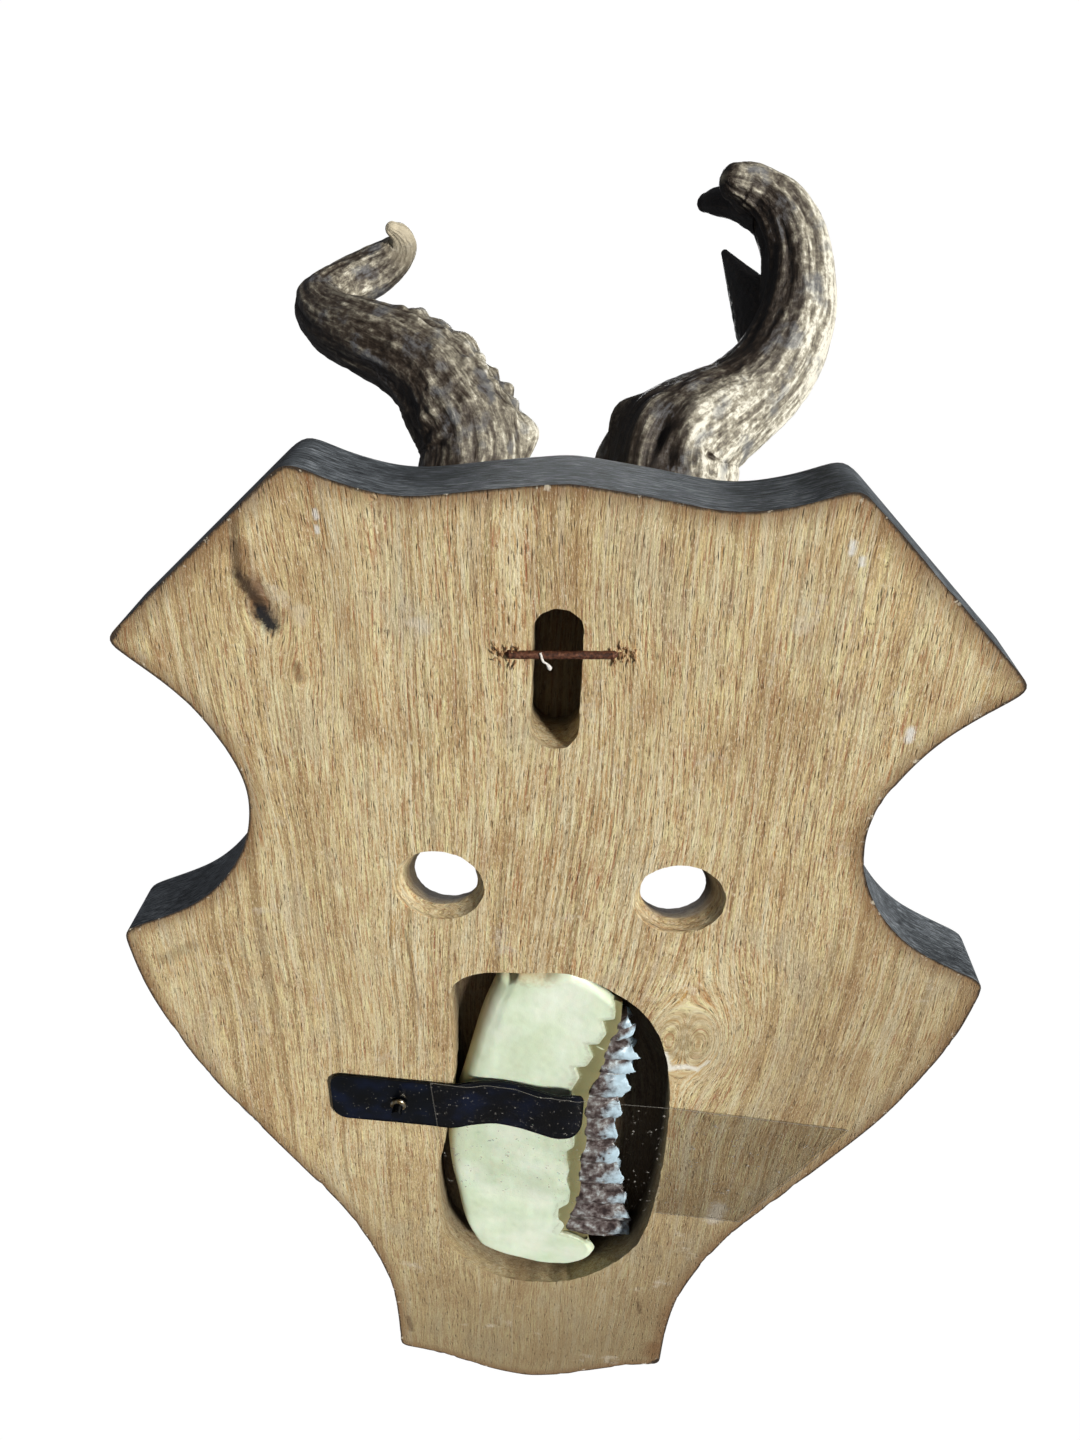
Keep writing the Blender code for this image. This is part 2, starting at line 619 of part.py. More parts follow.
def make_nail(bright_steel):
    seat = clip_y(NAIL_X) + CLIP_THICK / 2 + GAP
    profile = (
        (NAIL_TIP_Y, 0.2 * MM), (NAIL_TIP_Y + 2 * NAIL_R, NAIL_R), (seat, NAIL_R), (seat, NAIL_HEAD_R),
        (seat + NAIL_HEAD_HIGH / 2, NAIL_HEAD_R * 0.95), (seat + NAIL_HEAD_HIGH, NAIL_HEAD_R * 0.5),
    )
    return turned("clip_nail", NAIL_X, clip_z(NAIL_X), profile, 12, bright_steel)


def make_screw(brass):
    """A slotted round-head wood screw, through the skull cap and into the board."""
    seat = SCREW_SEAT_Y
    top = seat - SCREW_HEAD_HIGH
    profile = (
        (SCREW_TIP_Y - GAP, 0.6 * MM), (SCREW_TIP_Y - 2 * SCREW_R, SCREW_R), (seat, SCREW_R),
        (seat, SCREW_HEAD_R), ((seat + top) / 2, SCREW_HEAD_R * 0.9), (top, SCREW_HEAD_R * 0.5),
    )
    screw = turned("skull_screw", 0.0, SCREW_Z, profile, 16, brass)
    long, wide = SCREW_HEAD_R * 1.3, 0.5 * MM
    drive = [(-long, SCREW_Z - wide), (long, SCREW_Z - wide), (long, SCREW_Z + wide), (-long, SCREW_Z + wide)]
    combine(screw, prism("drive_cutter", drive, top - GAP, top + SCREW_DRIVE_DEEP), "DIFFERENCE")
    return screw


def film_height(x, z):
    """Height of the film's under side: close over the wood, lifted over the clip, falling beside it."""
    free_end = CLIP_PROFILE[-1][0] * MM
    if x > free_end:
        highest = max(clip_y(x + step) for step in (-FILM_STIFF_REACH, 0.0, FILM_STIFF_REACH))
        lift = max(0.0, highest + CLIP_THICK / 2)
    else:
        lift = FILM_BRIDGE_HIGH * max(0.0, 1.0 - (free_end - x) / FILM_BRIDGE_LONG)
    beside = abs(z - clip_z(x)) - CLIP_WIDE / 2 - GAP
    return GAP + lift * min(1.0, max(0.0, 1.0 - beside / FILM_FALL_LONG))


def make_film(clear):
    """A thin sheet stretched between its four corners, and lifted where the clip is under it."""
    corners = [Vector((x * MM, 0.0, z * MM)) for x, z in FILM_CORNERS]
    rings = []
    for share in np.linspace(0.0, 1.0, 16):
        top = corners[0].lerp(corners[1], share)
        low = corners[3].lerp(corners[2], share)
        under = [top.lerp(low, down) for down in np.linspace(0.0, 1.0, 8)]
        for point in under:
            point.y = film_height(point.x, point.z)
        over = [point + Vector((0.0, FILM_THICK, 0.0)) for point in reversed(under)]
        rings.append(under + over)
    bm = bmesh.new()
    skin_rings(bm, rings)
    return add_object("clear_film", bm, clear)


def main():
    clear_scene()
    raw_oak = principled("raw oak", (0.42, 0.26, 0.11), 0.75)
    black_stain = principled("black stain on oak", (0.02, 0.02, 0.022), 0.5)
    skull_bone = principled("bleached skull bone", (0.72, 0.66, 0.52), 0.6)
    jaw_bone = principled("boiled jaw bone", (0.70, 0.70, 0.50), 0.45)
    antler = principled("antler", (0.13, 0.09, 0.055), 0.55)
    enamel = principled("tooth enamel", (0.30, 0.25, 0.24), 0.35)
    blued_steel = principled("blued spring steel", (0.01, 0.012, 0.03), 0.3, 1.0)
    bright_steel = principled("bright nail steel", (0.6, 0.56, 0.5), 0.3, 1.0)
    rusty_wire = principled("rusty iron wire", (0.18, 0.07, 0.04), 0.6, 0.6)
    brass = principled("dull brass", (0.5, 0.36, 0.15), 0.4, 1.0)
    clear = principled("clear film", (0.8, 0.8, 0.8), 0.2)

    make_board(raw_oak, black_stain)
    make_skull(skull_bone)
    make_antler("antler_left", LEFT_BEAM, 0.45, 3, antler)
    make_right_antler(antler)
    make_screw(brass)
    make_jaw_bone(jaw_bone)
    for name, front, back, cusps in TEETH:
        make_tooth(name, front, back, cusps, enamel)
    make_clip(blued_steel)
    make_nail(bright_steel)
    add_tube("hanging_wire", wire_route(WIRE_R), 8, rusty_wire)
    make_film(clear)


main()
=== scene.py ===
import math
import random

import bpy
import numpy as np
from mathutils import Matrix, Vector, kdtree, noise


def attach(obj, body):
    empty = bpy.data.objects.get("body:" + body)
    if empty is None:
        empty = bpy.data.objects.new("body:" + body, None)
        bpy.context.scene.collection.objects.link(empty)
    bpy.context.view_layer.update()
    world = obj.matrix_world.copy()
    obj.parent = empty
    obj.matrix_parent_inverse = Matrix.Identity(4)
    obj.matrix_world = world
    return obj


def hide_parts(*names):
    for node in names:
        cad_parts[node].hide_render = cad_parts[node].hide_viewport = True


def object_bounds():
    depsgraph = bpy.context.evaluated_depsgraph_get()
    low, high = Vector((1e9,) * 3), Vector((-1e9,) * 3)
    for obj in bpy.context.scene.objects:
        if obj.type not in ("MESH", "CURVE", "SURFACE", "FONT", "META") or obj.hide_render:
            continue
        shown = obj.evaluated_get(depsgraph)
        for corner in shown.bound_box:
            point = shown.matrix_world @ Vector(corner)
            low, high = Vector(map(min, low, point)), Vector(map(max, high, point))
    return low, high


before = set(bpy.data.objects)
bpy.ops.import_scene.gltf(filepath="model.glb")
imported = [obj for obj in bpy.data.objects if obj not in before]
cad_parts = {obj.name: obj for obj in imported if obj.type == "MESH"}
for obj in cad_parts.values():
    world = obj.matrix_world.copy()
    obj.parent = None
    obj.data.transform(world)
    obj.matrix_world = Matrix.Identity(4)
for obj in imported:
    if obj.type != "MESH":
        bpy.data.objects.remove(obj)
cad_low, cad_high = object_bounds()
MM = 0.001

# Camera: it stands close behind the trophy and looks down on its back, as the lit top edge and
# the walls of the holes show. Its lens covers 36 mm over the tall side of the picture.
camera_data = bpy.data.cameras.new("camera behind the trophy")
camera_data.sensor_width = 36.0
camera_data.lens = 24.95
camera_data.clip_start = 5 * MM
camera = bpy.data.objects.new("camera behind the trophy", camera_data)
image_right = Vector((-0.99798, -0.05651, 0.02828))
image_up = Vector((0.05466, -0.54760, 0.83495))
towards_camera = Vector((-0.0317, 0.8348, 0.5496))
camera_turn = Matrix((image_right, image_up, towards_camera)).transposed().to_4x4()
camera.matrix_world = Matrix.Translation(Vector((-1.78, 116.87, 66.24)) * MM) @ camera_turn
bpy.context.scene.collection.objects.link(camera)
bpy.context.scene.camera = camera


# Studio: a lit white backdrop all round that throws no light or shadow on the trophy, one warm light from
# the upper right of the picture, as the lit side of the antlers shows, a weak light on the front, which
# the picture leaves out, and a weak white sky.
def hex_colour(text):
    """An sRGB hex colour as the linear colour that Blender's sockets take."""
    parts = [int(text[k : k + 2], 16) / 255 for k in (1, 3, 5)]
    return [p / 12.92 if p <= 0.04045 else ((p + 0.055) / 1.055) ** 2.4 for p in parts] + [1.0]


def add(tree, kind, inputs=None, out=0, stops=None, to=None, **settings):
    """Adds one node with its settings and ramp stops, links or sets its inputs, and returns one output,
    which is also linked to the socket given as to."""
    node = tree.nodes.new("ShaderNode" + kind)
    for name, value in settings.items():
        setattr(node, name, value)
    if stops:
        ramp = node.color_ramp
        ramp.elements.remove(ramp.elements[1])
        ramp.elements[0].position = stops[0][0]
        ramp.elements[0].color = hex_colour(stops[0][1])
        for place, colour in stops[1:]:
            ramp.elements.new(place).color = hex_colour(colour)
    for name, value in (inputs or {}).items():
        if isinstance(value, bpy.types.NodeSocket):
            tree.links.new(value, node.inputs[name])
        else:
            node.inputs[name].default_value = value
    if to is not None:
        tree.links.new(node.outputs[out], to)
    return node.outputs[out]


def new_material(name, roughness, **inputs):
    """A node material, its tree and its Principled shader, with the values that are the same all over."""
    made = bpy.data.materials.new(name)
    made.use_nodes = True
    shader = made.node_tree.nodes["Principled BSDF"]
    shader.inputs["Roughness"].default_value = roughness
    for socket, value in inputs.items():
        shader.inputs[socket.replace("_", " ")].default_value = value
    return made, made.node_tree, shader


def only(piece):
    """Makes this the one selected and active object."""
    bpy.ops.object.select_all(action="DESELECT")
    piece.select_set(True)
    bpy.context.view_layer.objects.active = piece


def by_ops(piece, *calls):
    """Opens the piece in edit mode with all of it selected, and runs each operator with its settings."""
    only(piece)
    bpy.ops.object.mode_set(mode="EDIT")
    bpy.ops.mesh.select_all(action="SELECT")
    for operator, settings in calls:
        operator(**settings)
    bpy.ops.object.mode_set(mode="OBJECT")


BACKDROP_R = 6.0
bpy.ops.object.select_all(action="DESELECT")
bpy.ops.mesh.primitive_uv_sphere_add(segments=64, ring_count=32, radius=BACKDROP_R)
backdrop = bpy.context.object
backdrop.name = "lit backdrop"
bpy.ops.object.shade_smooth()
lit_paper, tree, shader = new_material("lit white backdrop", 1.0, Emission_Strength=1.0)
shader.inputs["Base Color"].default_value = hex_colour("#000000")
shader.inputs["Emission Color"].default_value = hex_colour("#FFFFFF")
backdrop.data.materials.append(lit_paper)
backdrop.visible_diffuse = False
backdrop.visible_glossy = False
backdrop.visible_shadow = False

LIGHTS = (
    ("key light through a white sheet", 3.9, 9, (1.0, 0.975, 0.93), (-0.98, 1.0, 0.53)),
    ("fill light on the front", 1.2, 25, (1.0, 1.0, 1.0), (0.0, -1.0, -0.12)),
)
for light_name, energy, degrees, colour, direction in LIGHTS:
    light_data = bpy.data.lights.new(light_name, "SUN")
    light_data.energy = energy
    light_data.angle = math.radians(degrees)
    light_data.color = colour
    light = bpy.data.objects.new(light_name, light_data)
    light.rotation_euler = Vector(direction).to_track_quat("Z", "Y").to_euler()
    bpy.context.scene.collection.objects.link(light)

sky = bpy.data.worlds.new("weak white sky")
sky.use_nodes = True
sky.node_tree.nodes["Background"].inputs["Color"].default_value = hex_colour("#F4F7FF")
sky.node_tree.nodes["Background"].inputs["Strength"].default_value = 0.13
bpy.context.scene.world = sky
bpy.context.scene.view_settings.view_transform = "Standard"


# Shield board: oak sawn to the shield's outline, its pocket and slot routed from behind, two slanting
# holes drilled, and its front and edges stained black. The back is left raw, with the stain bled in a
# little.
BOARD_THICK = 11.9
FRONT_EDGE_ROUND = 1.4
POCKET_DEEP = 9.0
SLOT_DEEP = 8.5
SLOT_WIDE = 6.9
SLOT_TOP = 6.7
SLOT_BOTTOM = -15.6
SLOT_X = 0.6
HOLE_X = (17.9, -20.2)
HOLE_Z = -43.4
HOLE_RIM_R = 7.35
HOLE_R = 6.0
HOLE_SINK = 2.4
HOLE_FALL = 0.74
GRID_STEP = 3.0
STAINED_RIM = 1.6
OUTLINE_RUNS = (
    ((0.0, 23.9), (10.0, 22.6), (20.3, 21.2), (28.0, 22.4), (35.0, 25.0)),
    ((35.0, 25.0), (62.9, -1.5)),
    ((62.9, -1.5), (53.0, -10.9), (47.2, -22.0), (46.6, -31.0), (50.0, -40.8), (58.0, -50.2), (71.7, -57.7)),
    (
        (71.7, -57.7), (70.4, -70.0), (67.4, -81.5), (62.6, -94.6), (55.5, -108.4),
        (47.5, -123.1), (40.5, -136.1), (35.2, -150.7), (32.1, -164.6), (31.1, -178.4), (31.1, -193.6),
    ),
    ((31.1, -193.6), (24.5, -195.0), (16.0, -198.6), (8.0, -202.3), (0.0, -204.2)),
)
POCKET_POINTS = (
    (-5.6, -62.2), (3.5, -62.0), (12.6, -63.2), (16.5, -68.1), (16.4, -82.0), (16.6, -95.0), (18.2, -108.7),
    (20.3, -122.0), (20.3, -136.0), (19.0, -146.0), (15.0, -153.0), (8.4, -158.4), (0.6, -160.2),
    (-8.4, -158.4), (-16.2, -151.6), (-21.4, -143.0), (-23.5, -132.0), (-24.3, -117.0),
    (-24.2, -101.7), (-23.0, -87.0), (-20.4, -76.5), (-15.6, -68.8),
)


def through(points, spacing, closed=False):
    """Points about one spacing apart on a smooth curve through the given ones, with their other values."""
    knots = np.array(points, float)
    if closed:
        padded = np.vstack([knots[-1], knots, knots[:2]])
    else:
        padded = np.vstack([2 * knots[0] - knots[1], knots, 2 * knots[-1] - knots[-2]])
    t = np.arange(24)[:, None] / 24
    spans = []
    for a, b, c, d in zip(padded, padded[1:], padded[2:], padded[3:]):
        cubic = 2 * b + (c - a) * t + (2 * a - 5 * b + 4 * c - d) * t**2 + (3 * b - a - 3 * c + d) * t**3
        spans.append(cubic / 2)
    curve = np.vstack([*spans, knots[:1] if closed else knots[-1:]])
    along = np.concatenate([[0.0], np.cumsum(np.linalg.norm(np.diff(curve[:, :3], axis=0), axis=1))])
    wanted = np.linspace(0.0, along[-1], max(2, round(along[-1] / spacing)) + 1)
    found = np.stack([np.interp(wanted, along, column) for column in curve.T], axis=1)
    return found[:-1] if closed else found


def roughened(outline, size, reach, seed):
    """The closed outline with its points pushed to and fro by smooth noise, as a blade leaves an edge."""
    moved = []
    for x, z in outline:
        place = Vector((x / size, z / size, seed))
        moved.append((x + reach * noise.noise(place), z + reach * noise.noise(place + Vector((9, 4, 2)))))
    return moved


def slab(name, outline, y_back, y_front):
    """A flat solid: a filled circle laid on the outline in mm at y_back, and extruded to y_front."""
    bpy.ops.object.select_all(action="DESELECT")
    bpy.ops.mesh.primitive_circle_add(vertices=len(outline), radius=1.0, fill_type="NGON")
    piece = bpy.context.object
    piece.name = name
    for vertex, (x, z) in zip(piece.data.vertices, outline):
        vertex.co = (x * MM, y_back * MM, z * MM)
    step = {"value": (0, (y_front - y_back) * MM, 0)}
    by_ops(
        piece,
        (bpy.ops.mesh.extrude_region_move, {"TRANSFORM_OT_translate": step}),
        (bpy.ops.mesh.select_all, {"action": "SELECT"}),
        (bpy.ops.mesh.normals_make_consistent, {"inside": False}),
    )
    return piece


def combine(target, other, operation="DIFFERENCE"):
    """Cuts the other solid out of the target, or grows it on, and removes the other."""
    modifier = target.modifiers.new("combined", "BOOLEAN")
    modifier.operation = operation
    modifier.object = other
    modifier.solver = "EXACT"
    only(target)
    bpy.ops.object.modifier_apply(modifier="combined")
    bpy.data.objects.remove(other)


def skin(name, rings, closed=True, ends=True):
    """A grid primitive laid on rings of points in mm, joined along its seam and filled at its ends."""
    rings = np.array(rings, float)
    rows, columns = rings.shape[:2]
    across = columns if closed else columns - 1
    bpy.ops.object.select_all(action="DESELECT")
    bpy.ops.mesh.primitive_grid_add(x_subdivisions=across, y_subdivisions=rows - 1, size=1.0)
    piece = bpy.context.object
    piece.name = name
    mesh = piece.data
    flat = np.empty(len(mesh.vertices) * 3)
    mesh.vertices.foreach_get("co", flat)
    side = np.rint((flat[0::3] + 0.5) * across).astype(int) % columns
    row = np.rint((flat[1::3] + 0.5) * (rows - 1)).astype(int)
    mesh.vertices.foreach_set("co", (rings[row, side] * MM).ravel())
    mesh.update()
    calls = []
    if closed:
        calls.append((bpy.ops.mesh.remove_doubles, {"threshold": 1e-7}))
        if ends:
            calls.append((bpy.ops.mesh.fill_holes, {"sides": 0}))
        calls.append((bpy.ops.mesh.select_all, {"action": "SELECT"}))
        calls.append((bpy.ops.mesh.normals_make_consistent, {"inside": False}))
    by_ops(piece, *calls)
    piece.data.shade_smooth()
    return piece


def points_of(piece):
    """The piece's vertices as rows of X, Y and Z in mm."""
    found = np.empty(len(piece.data.vertices) * 3)
    piece.data.vertices.foreach_get("co", found)
    return found.reshape(-1, 3) / MM


def paint(piece, name, values):
    """Keeps one number for each vertex on the piece, for its material to read."""
    kept = piece.data.attributes.get(name) or piece.data.attributes.new(name, "FLOAT", "POINT")
    kept.data.foreach_set("value", np.asarray(values, float))


half = [through(run, 0.9)[1:] for run in OUTLINE_RUNS]
half = np.vstack([[OUTLINE_RUNS[0][0]], *half])
shield_line = np.vstack([half, half[-2:0:-1] * (-1.0, 1.0)])
for _ in range(6):
    shield_line = (np.roll(shield_line, 1, axis=0) + 2 * shield_line + np.roll(shield_line, -1, axis=0)) / 4


def from_outline(points):
    """Each point's distance in mm from the shield's outline, by X and Z."""
    ends = np.roll(shield_line, -1, axis=0) - shield_line
    nearest = np.full(len(points), 1e9)
    for start, step in zip(shield_line, ends):
        away = points[:, [0, 2]] - start
        share = np.clip(away @ step / (step @ step), 0.0, 1.0)
        nearest = np.minimum(nearest, np.linalg.norm(away - share[:, None] * step, axis=1))
    return nearest


def drawn_in(reach):
    """The shield's outline drawn in by reach mm. Points that a sharp corner leaves no room for gather there."""
    along = np.roll(shield_line, -1, axis=0) - np.roll(shield_line, 1, axis=0)
    inward = np.stack([along[:, 1], -along[:, 0]], axis=1) / np.linalg.norm(along, axis=1)[:, None]
    moved = shield_line + inward * reach
    free = np.flatnonzero(from_outline(np.insert(moved, 1, 0.0, axis=1)) > 0.97 * reach)
    for k in range(len(moved)):
        gaps = np.abs(free - k)
        moved[k] = moved[free[np.argmin(np.minimum(gaps, len(moved) - gaps))]]
    return moved


board_rings = [np.insert(shield_line, 1, 0.0, axis=1)]
for angle in np.linspace(0.0, math.pi / 2, 6):
    ring = shield_line if angle == 0.0 else drawn_in(FRONT_EDGE_ROUND * (1 - math.cos(angle)))
    board_rings.append(np.insert(ring, 1, -BOARD_THICK + FRONT_EDGE_ROUND * (1 - math.sin(angle)), axis=1))
shield = skin("shield_board_finished", board_rings)

# The arris of the back is knocked and chipped: its points sink and draw in by up to a third of a millimetre.
for vertex, distance in zip(shield.data.vertices, from_outline(points_of(shield))):
    if vertex.co.y > -0.05 * MM and distance < 0.2:
        place = vertex.co / MM
        knock = max(0.0, noise.noise(place * 0.2) + 0.4 * noise.noise(place * 0.8) - 0.1)
        inward = Vector((-place.x * 0.6, 0.0, -90.0 - place.z)).normalized()
        vertex.co += inward * knock * 0.25 * MM
        vertex.co.y -= knock * 0.4 * MM


def hole_cutter(x):
    """A countersink at the back face, then a round bore that falls towards the front."""
    widen = (HOLE_RIM_R - HOLE_R) / HOLE_SINK
    stages = [(0.6, HOLE_RIM_R + widen * 0.6, 0.0)]
    for share in np.linspace(0.0, 1.0, 9):
        stages.append((-HOLE_SINK * share, HOLE_RIM_R + (HOLE_R - HOLE_RIM_R) * share, 0.0))
    for share in np.linspace(0.1, 1.0, 9):
        past = (BOARD_THICK + 1.0 - HOLE_SINK) * share
        stages.append((-HOLE_SINK - past, HOLE_R, past * HOLE_FALL))
    rings = []
    for y, radius, drop in stages:
        ring = []
        for angle in np.linspace(0, 2 * math.pi, 72, endpoint=False):
            torn = 0.16 * noise.noise(Vector((math.cos(angle) * 3.5, math.sin(angle) * 3.5, y * 1.2 + x)))
            torn += 0.08 * noise.noise(Vector((math.cos(angle) * 11, math.sin(angle) * 11, y * 2.5 + x)))
            reach = radius + torn
            ring.append((x + reach * math.cos(angle), y, HOLE_Z - drop + reach * math.sin(angle)))
        rings.append(ring)
    return skin("hole_cutter", rings)


def slot_line():
    """The hanging slot's outline: two half rounds and the straight sides between them."""
    radius = SLOT_WIDE / 2
    ends = []
    for middle_z, first in ((SLOT_TOP - radius, 0.0), (SLOT_BOTTOM + radius, math.pi)):
        for angle in np.linspace(first, first + math.pi, 28):
            ends.append((SLOT_X + radius * math.cos(angle), middle_z + radius * math.sin(angle)))
        along = SLOT_X + math.copysign(radius, math.cos(first + math.pi))
        for share in np.linspace(0.05, 0.95, 16):
            low, high = SLOT_BOTTOM + radius, SLOT_TOP - radius
            first_z, last_z = (high, low) if first == 0.0 else (low, high)
            ends.append((along, first_z + (last_z - first_z) * share))
    return ends


pocket_line = roughened(through(POCKET_POINTS, 0.7, closed=True), 2.2, 0.22, 3.0)
combine(shield, slab("pocket_cutter", pocket_line, 1.0, -POCKET_DEEP))
combine(shield, slab("slot_cutter", roughened(slot_line(), 1.6, 0.2, 7.0), 1.0, -SLOT_DEEP))
for hole_x in HOLE_X:
    combine(shield, hole_cutter(hole_x))

# The back's few large faces are divided by a grid, so that the distance to the rim follows the rim's shape.
only(shield)
bpy.ops.object.mode_set(mode="EDIT")
bpy.ops.mesh.select_mode(type="FACE")
bpy.ops.mesh.select_all(action="DESELECT")
bpy.ops.object.mode_set(mode="OBJECT")
for face in shield.data.polygons:
    face.select = face.normal.y > 0.9 and face.center.y > -MM
bpy.ops.object.mode_set(mode="EDIT")
bpy.ops.mesh.hide(unselected=True)
for axis, first, last in (("x", cad_low.x, cad_high.x), ("z", cad_low.z, 26 * MM)):
    for place in np.arange(first + GRID_STEP * MM / 2, last, GRID_STEP * MM):
        bpy.ops.mesh.select_all(action="SELECT")
        on_plane = (place, 0, 0) if axis == "x" else (0, 0, place)
        across = (1, 0, 0) if axis == "x" else (0, 0, 1)
        bpy.ops.mesh.bisect(plane_co=on_plane, plane_no=across)
bpy.ops.mesh.reveal()
bpy.ops.object.mode_set(mode="OBJECT")
paint(shield, "rim_mm", np.minimum(from_outline(points_of(shield)), 6.0))

# Raw oak: matt, open-pored wood. Its grain runs up the shield, bends round the knot and the defects,
# and shows as soft tan bands, fine fibres and short dark pores 2 to 6 mm long.
def object_mm(tree):
    """The piece's own coordinates in mm."""
    return add(tree, "VectorMath", {0: add(tree, "TexCoord", out=3), "Scale": 1000.0}, operation="SCALE")


def tinted(tree, tone, colour, pattern, none_at, full_at, most=1.0):
    """The tone with a colour laid over it: not where the pattern is at none_at, the most where at full_at."""
    share = add(tree, "MapRange", {"Value": pattern, "From Min": none_at, "From Max": full_at, "To Max": most})
    return add(tree, "Mix", {0: share, 6: tone, 7: hex_colour(colour)}, out=2, data_type="RGBA")


raw_oak, tree, shader = new_material("raw oak, planed and left bare", 0.78)
in_mm = object_mm(tree)
x_mm, y_mm, z_mm = (add(tree, "SeparateXYZ", {0: in_mm}, out=k) for k in range(3))
slow = add(tree, "CombineXYZ", {0: add(tree, "Math", {0: x_mm, 1: 0.022}, operation="MULTIPLY"), 1: y_mm,
                                2: add(tree, "Math", {0: z_mm, 1: 0.011}, operation="MULTIPLY")})
sway = add(tree, "TexNoise", {"Vector": slow, "Scale": 1.0, "Detail": 2.0})
grain_x = add(tree, "Math", {0: sway, 1: 9.0, 2: x_mm}, operation="MULTIPLY_ADD")
# Each knot: its X and Z in mm, the reach of its bend in the grain, and the size of its core.
KNOTS = ((-24.5, -77.0, 7.4, 20.0), (40.5, 5.0, 2.6, 6.0), (36.3, -5.0, 1.3, 2.0))


def off_from(place_x, place_z):
    """Two sockets: how far X and Z are past this place in mm."""
    pairs = ((x_mm, place_x), (z_mm, place_z))
    return [add(tree, "Math", {0: line, 1: place}, operation="SUBTRACT") for line, place in pairs]


def squares(off_x, off_z):
    """The sum of the two distances' squares."""
    square_x = add(tree, "Math", {0: off_x, 1: off_x}, operation="MULTIPLY")
    return add(tree, "Math", {0: off_z, 1: off_z, 2: square_x}, operation="MULTIPLY_ADD")


knot_marks = []
for knot_x, knot_z, knot_r, core in KNOTS:
    off_x, off_z = off_from(knot_x, knot_z)
    square = squares(off_x, add(tree, "Math", {0: off_z, 1: 0.62}, operation="MULTIPLY"))
    soft = add(tree, "Math", {0: square, 1: core}, operation="ADD")
    pull = add(tree, "Math", {0: off_x, 1: -(knot_r**2)}, operation="MULTIPLY")
    pull = add(tree, "Math", {0: pull, 1: soft}, operation="DIVIDE")
    grain_x = add(tree, "Math", {0: grain_x, 1: pull}, operation="ADD")
    knot_marks.append(add(tree, "Math", {0: square, 1: 0.5}, operation="POWER"))


def along_grain(across, down, shift=0.0):
    """Coordinates for a pattern that is this fine across the grain and this fine along it, per mm."""
    u = add(tree, "Math", {0: grain_x, 1: across, 2: shift}, operation="MULTIPLY_ADD")
    v = add(tree, "Math", {0: y_mm, 1: across * 0.6}, operation="MULTIPLY")
    w = add(tree, "Math", {0: z_mm, 1: down}, operation="MULTIPLY")
    return add(tree, "CombineXYZ", {0: u, 1: v, 2: w})


# Each pattern: how fine it is across and along the grain per mm, a shift, and its detail and roughness.
GRAIN = (
    (0.05, 0.008, 0.0, 3.0, 0.6), (0.42, 0.010, 4.0, 4.0, 0.65), (3.4, 0.16, 2.0, 5.0, 0.7),
    (0.9, 0.006, 6.0, 3.0, 0.7), (0.10, 0.045, 8.0, 4.0, 0.65), (4.2, 1.1, 3.0, 3.0, 0.8),
)
broad, bands, fibres, lines, warm, glint = (
    add(tree, "TexNoise", {"Vector": along_grain(*fine), "Scale": 1.0, "Detail": detail, "Roughness": rough})
    for *fine, detail, rough in GRAIN)
pores = add(tree, "TexVoronoi", {"Vector": along_grain(2.3, 0.30, 9.0), "Scale": 1.0}, feature="F1")
pore_mask = add(tree, "MapRange", {"Value": pores, "From Min": 0.06, "From Max": 0.26, "To Min": 1.0, "To Max": 0.0})
speckle = add(tree, "TexNoise", {"Vector": in_mm, "Scale": 1.1, "Detail": 4.0, "Roughness": 0.75})

tone = add(tree, "ValToRGB", {"Fac": bands}, stops=(
    (0.28, "#8C7650"), (0.41, "#B8A277"), (0.52, "#D5C097"), (0.63, "#EBDCBA"), (0.76, "#BCA782")))
wide_tone = add(tree, "ValToRGB", {"Fac": broad}, stops=((0.32, "#B5A27D"), (0.5, "#D5BC94"), (0.7, "#E3CEAA")))
tone = add(tree, "Mix", {0: 0.45, 6: tone, 7: wide_tone}, out=2, data_type="RGBA")
fibre_tone = add(tree, "ValToRGB", {"Fac": fibres}, stops=(
    (0.30, "#5E4E38"), (0.41, "#A0968A"), (0.50, "#CBC6BD"), (0.60, "#E8E3D9"), (0.70, "#FFFCF2")))
tone = add(tree, "Mix", {0: 1.0, 6: tone, 7: fibre_tone}, out=2, data_type="RGBA", blend_type="OVERLAY")
# Dark and pale lines, brown and grey bands, then painted glints and small painted shadows of fibres that catch the
# light.
for colour, pattern, none_at, full_at, most in (
    ("#94784F", lines, 0.55, 0.61, 0.6), ("#E9DCBB", lines, 0.44, 0.38, 0.6), ("#A98153", warm, 0.50, 0.66, 0.55),
    ("#C3B698", warm, 0.47, 0.34, 0.5), ("#F3E6C6", glint, 0.55, 0.66, 0.85), ("#7A6142", glint, 0.44, 0.34, 0.8),
):
    tone = tinted(tree, tone, colour, pattern, none_at, full_at, most)
pore_share = add(tree, "MapRange", {"Value": broad, "From Min": 0.35, "From Max": 0.62, "To Min": 0.75, "To Max": 0.2})
pore_share = add(tree, "Math", {0: pore_mask, 1: pore_share}, operation="MULTIPLY")
tone = tinted(tree, tone, "#6E5636", pore_share, 0.0, 1.0)

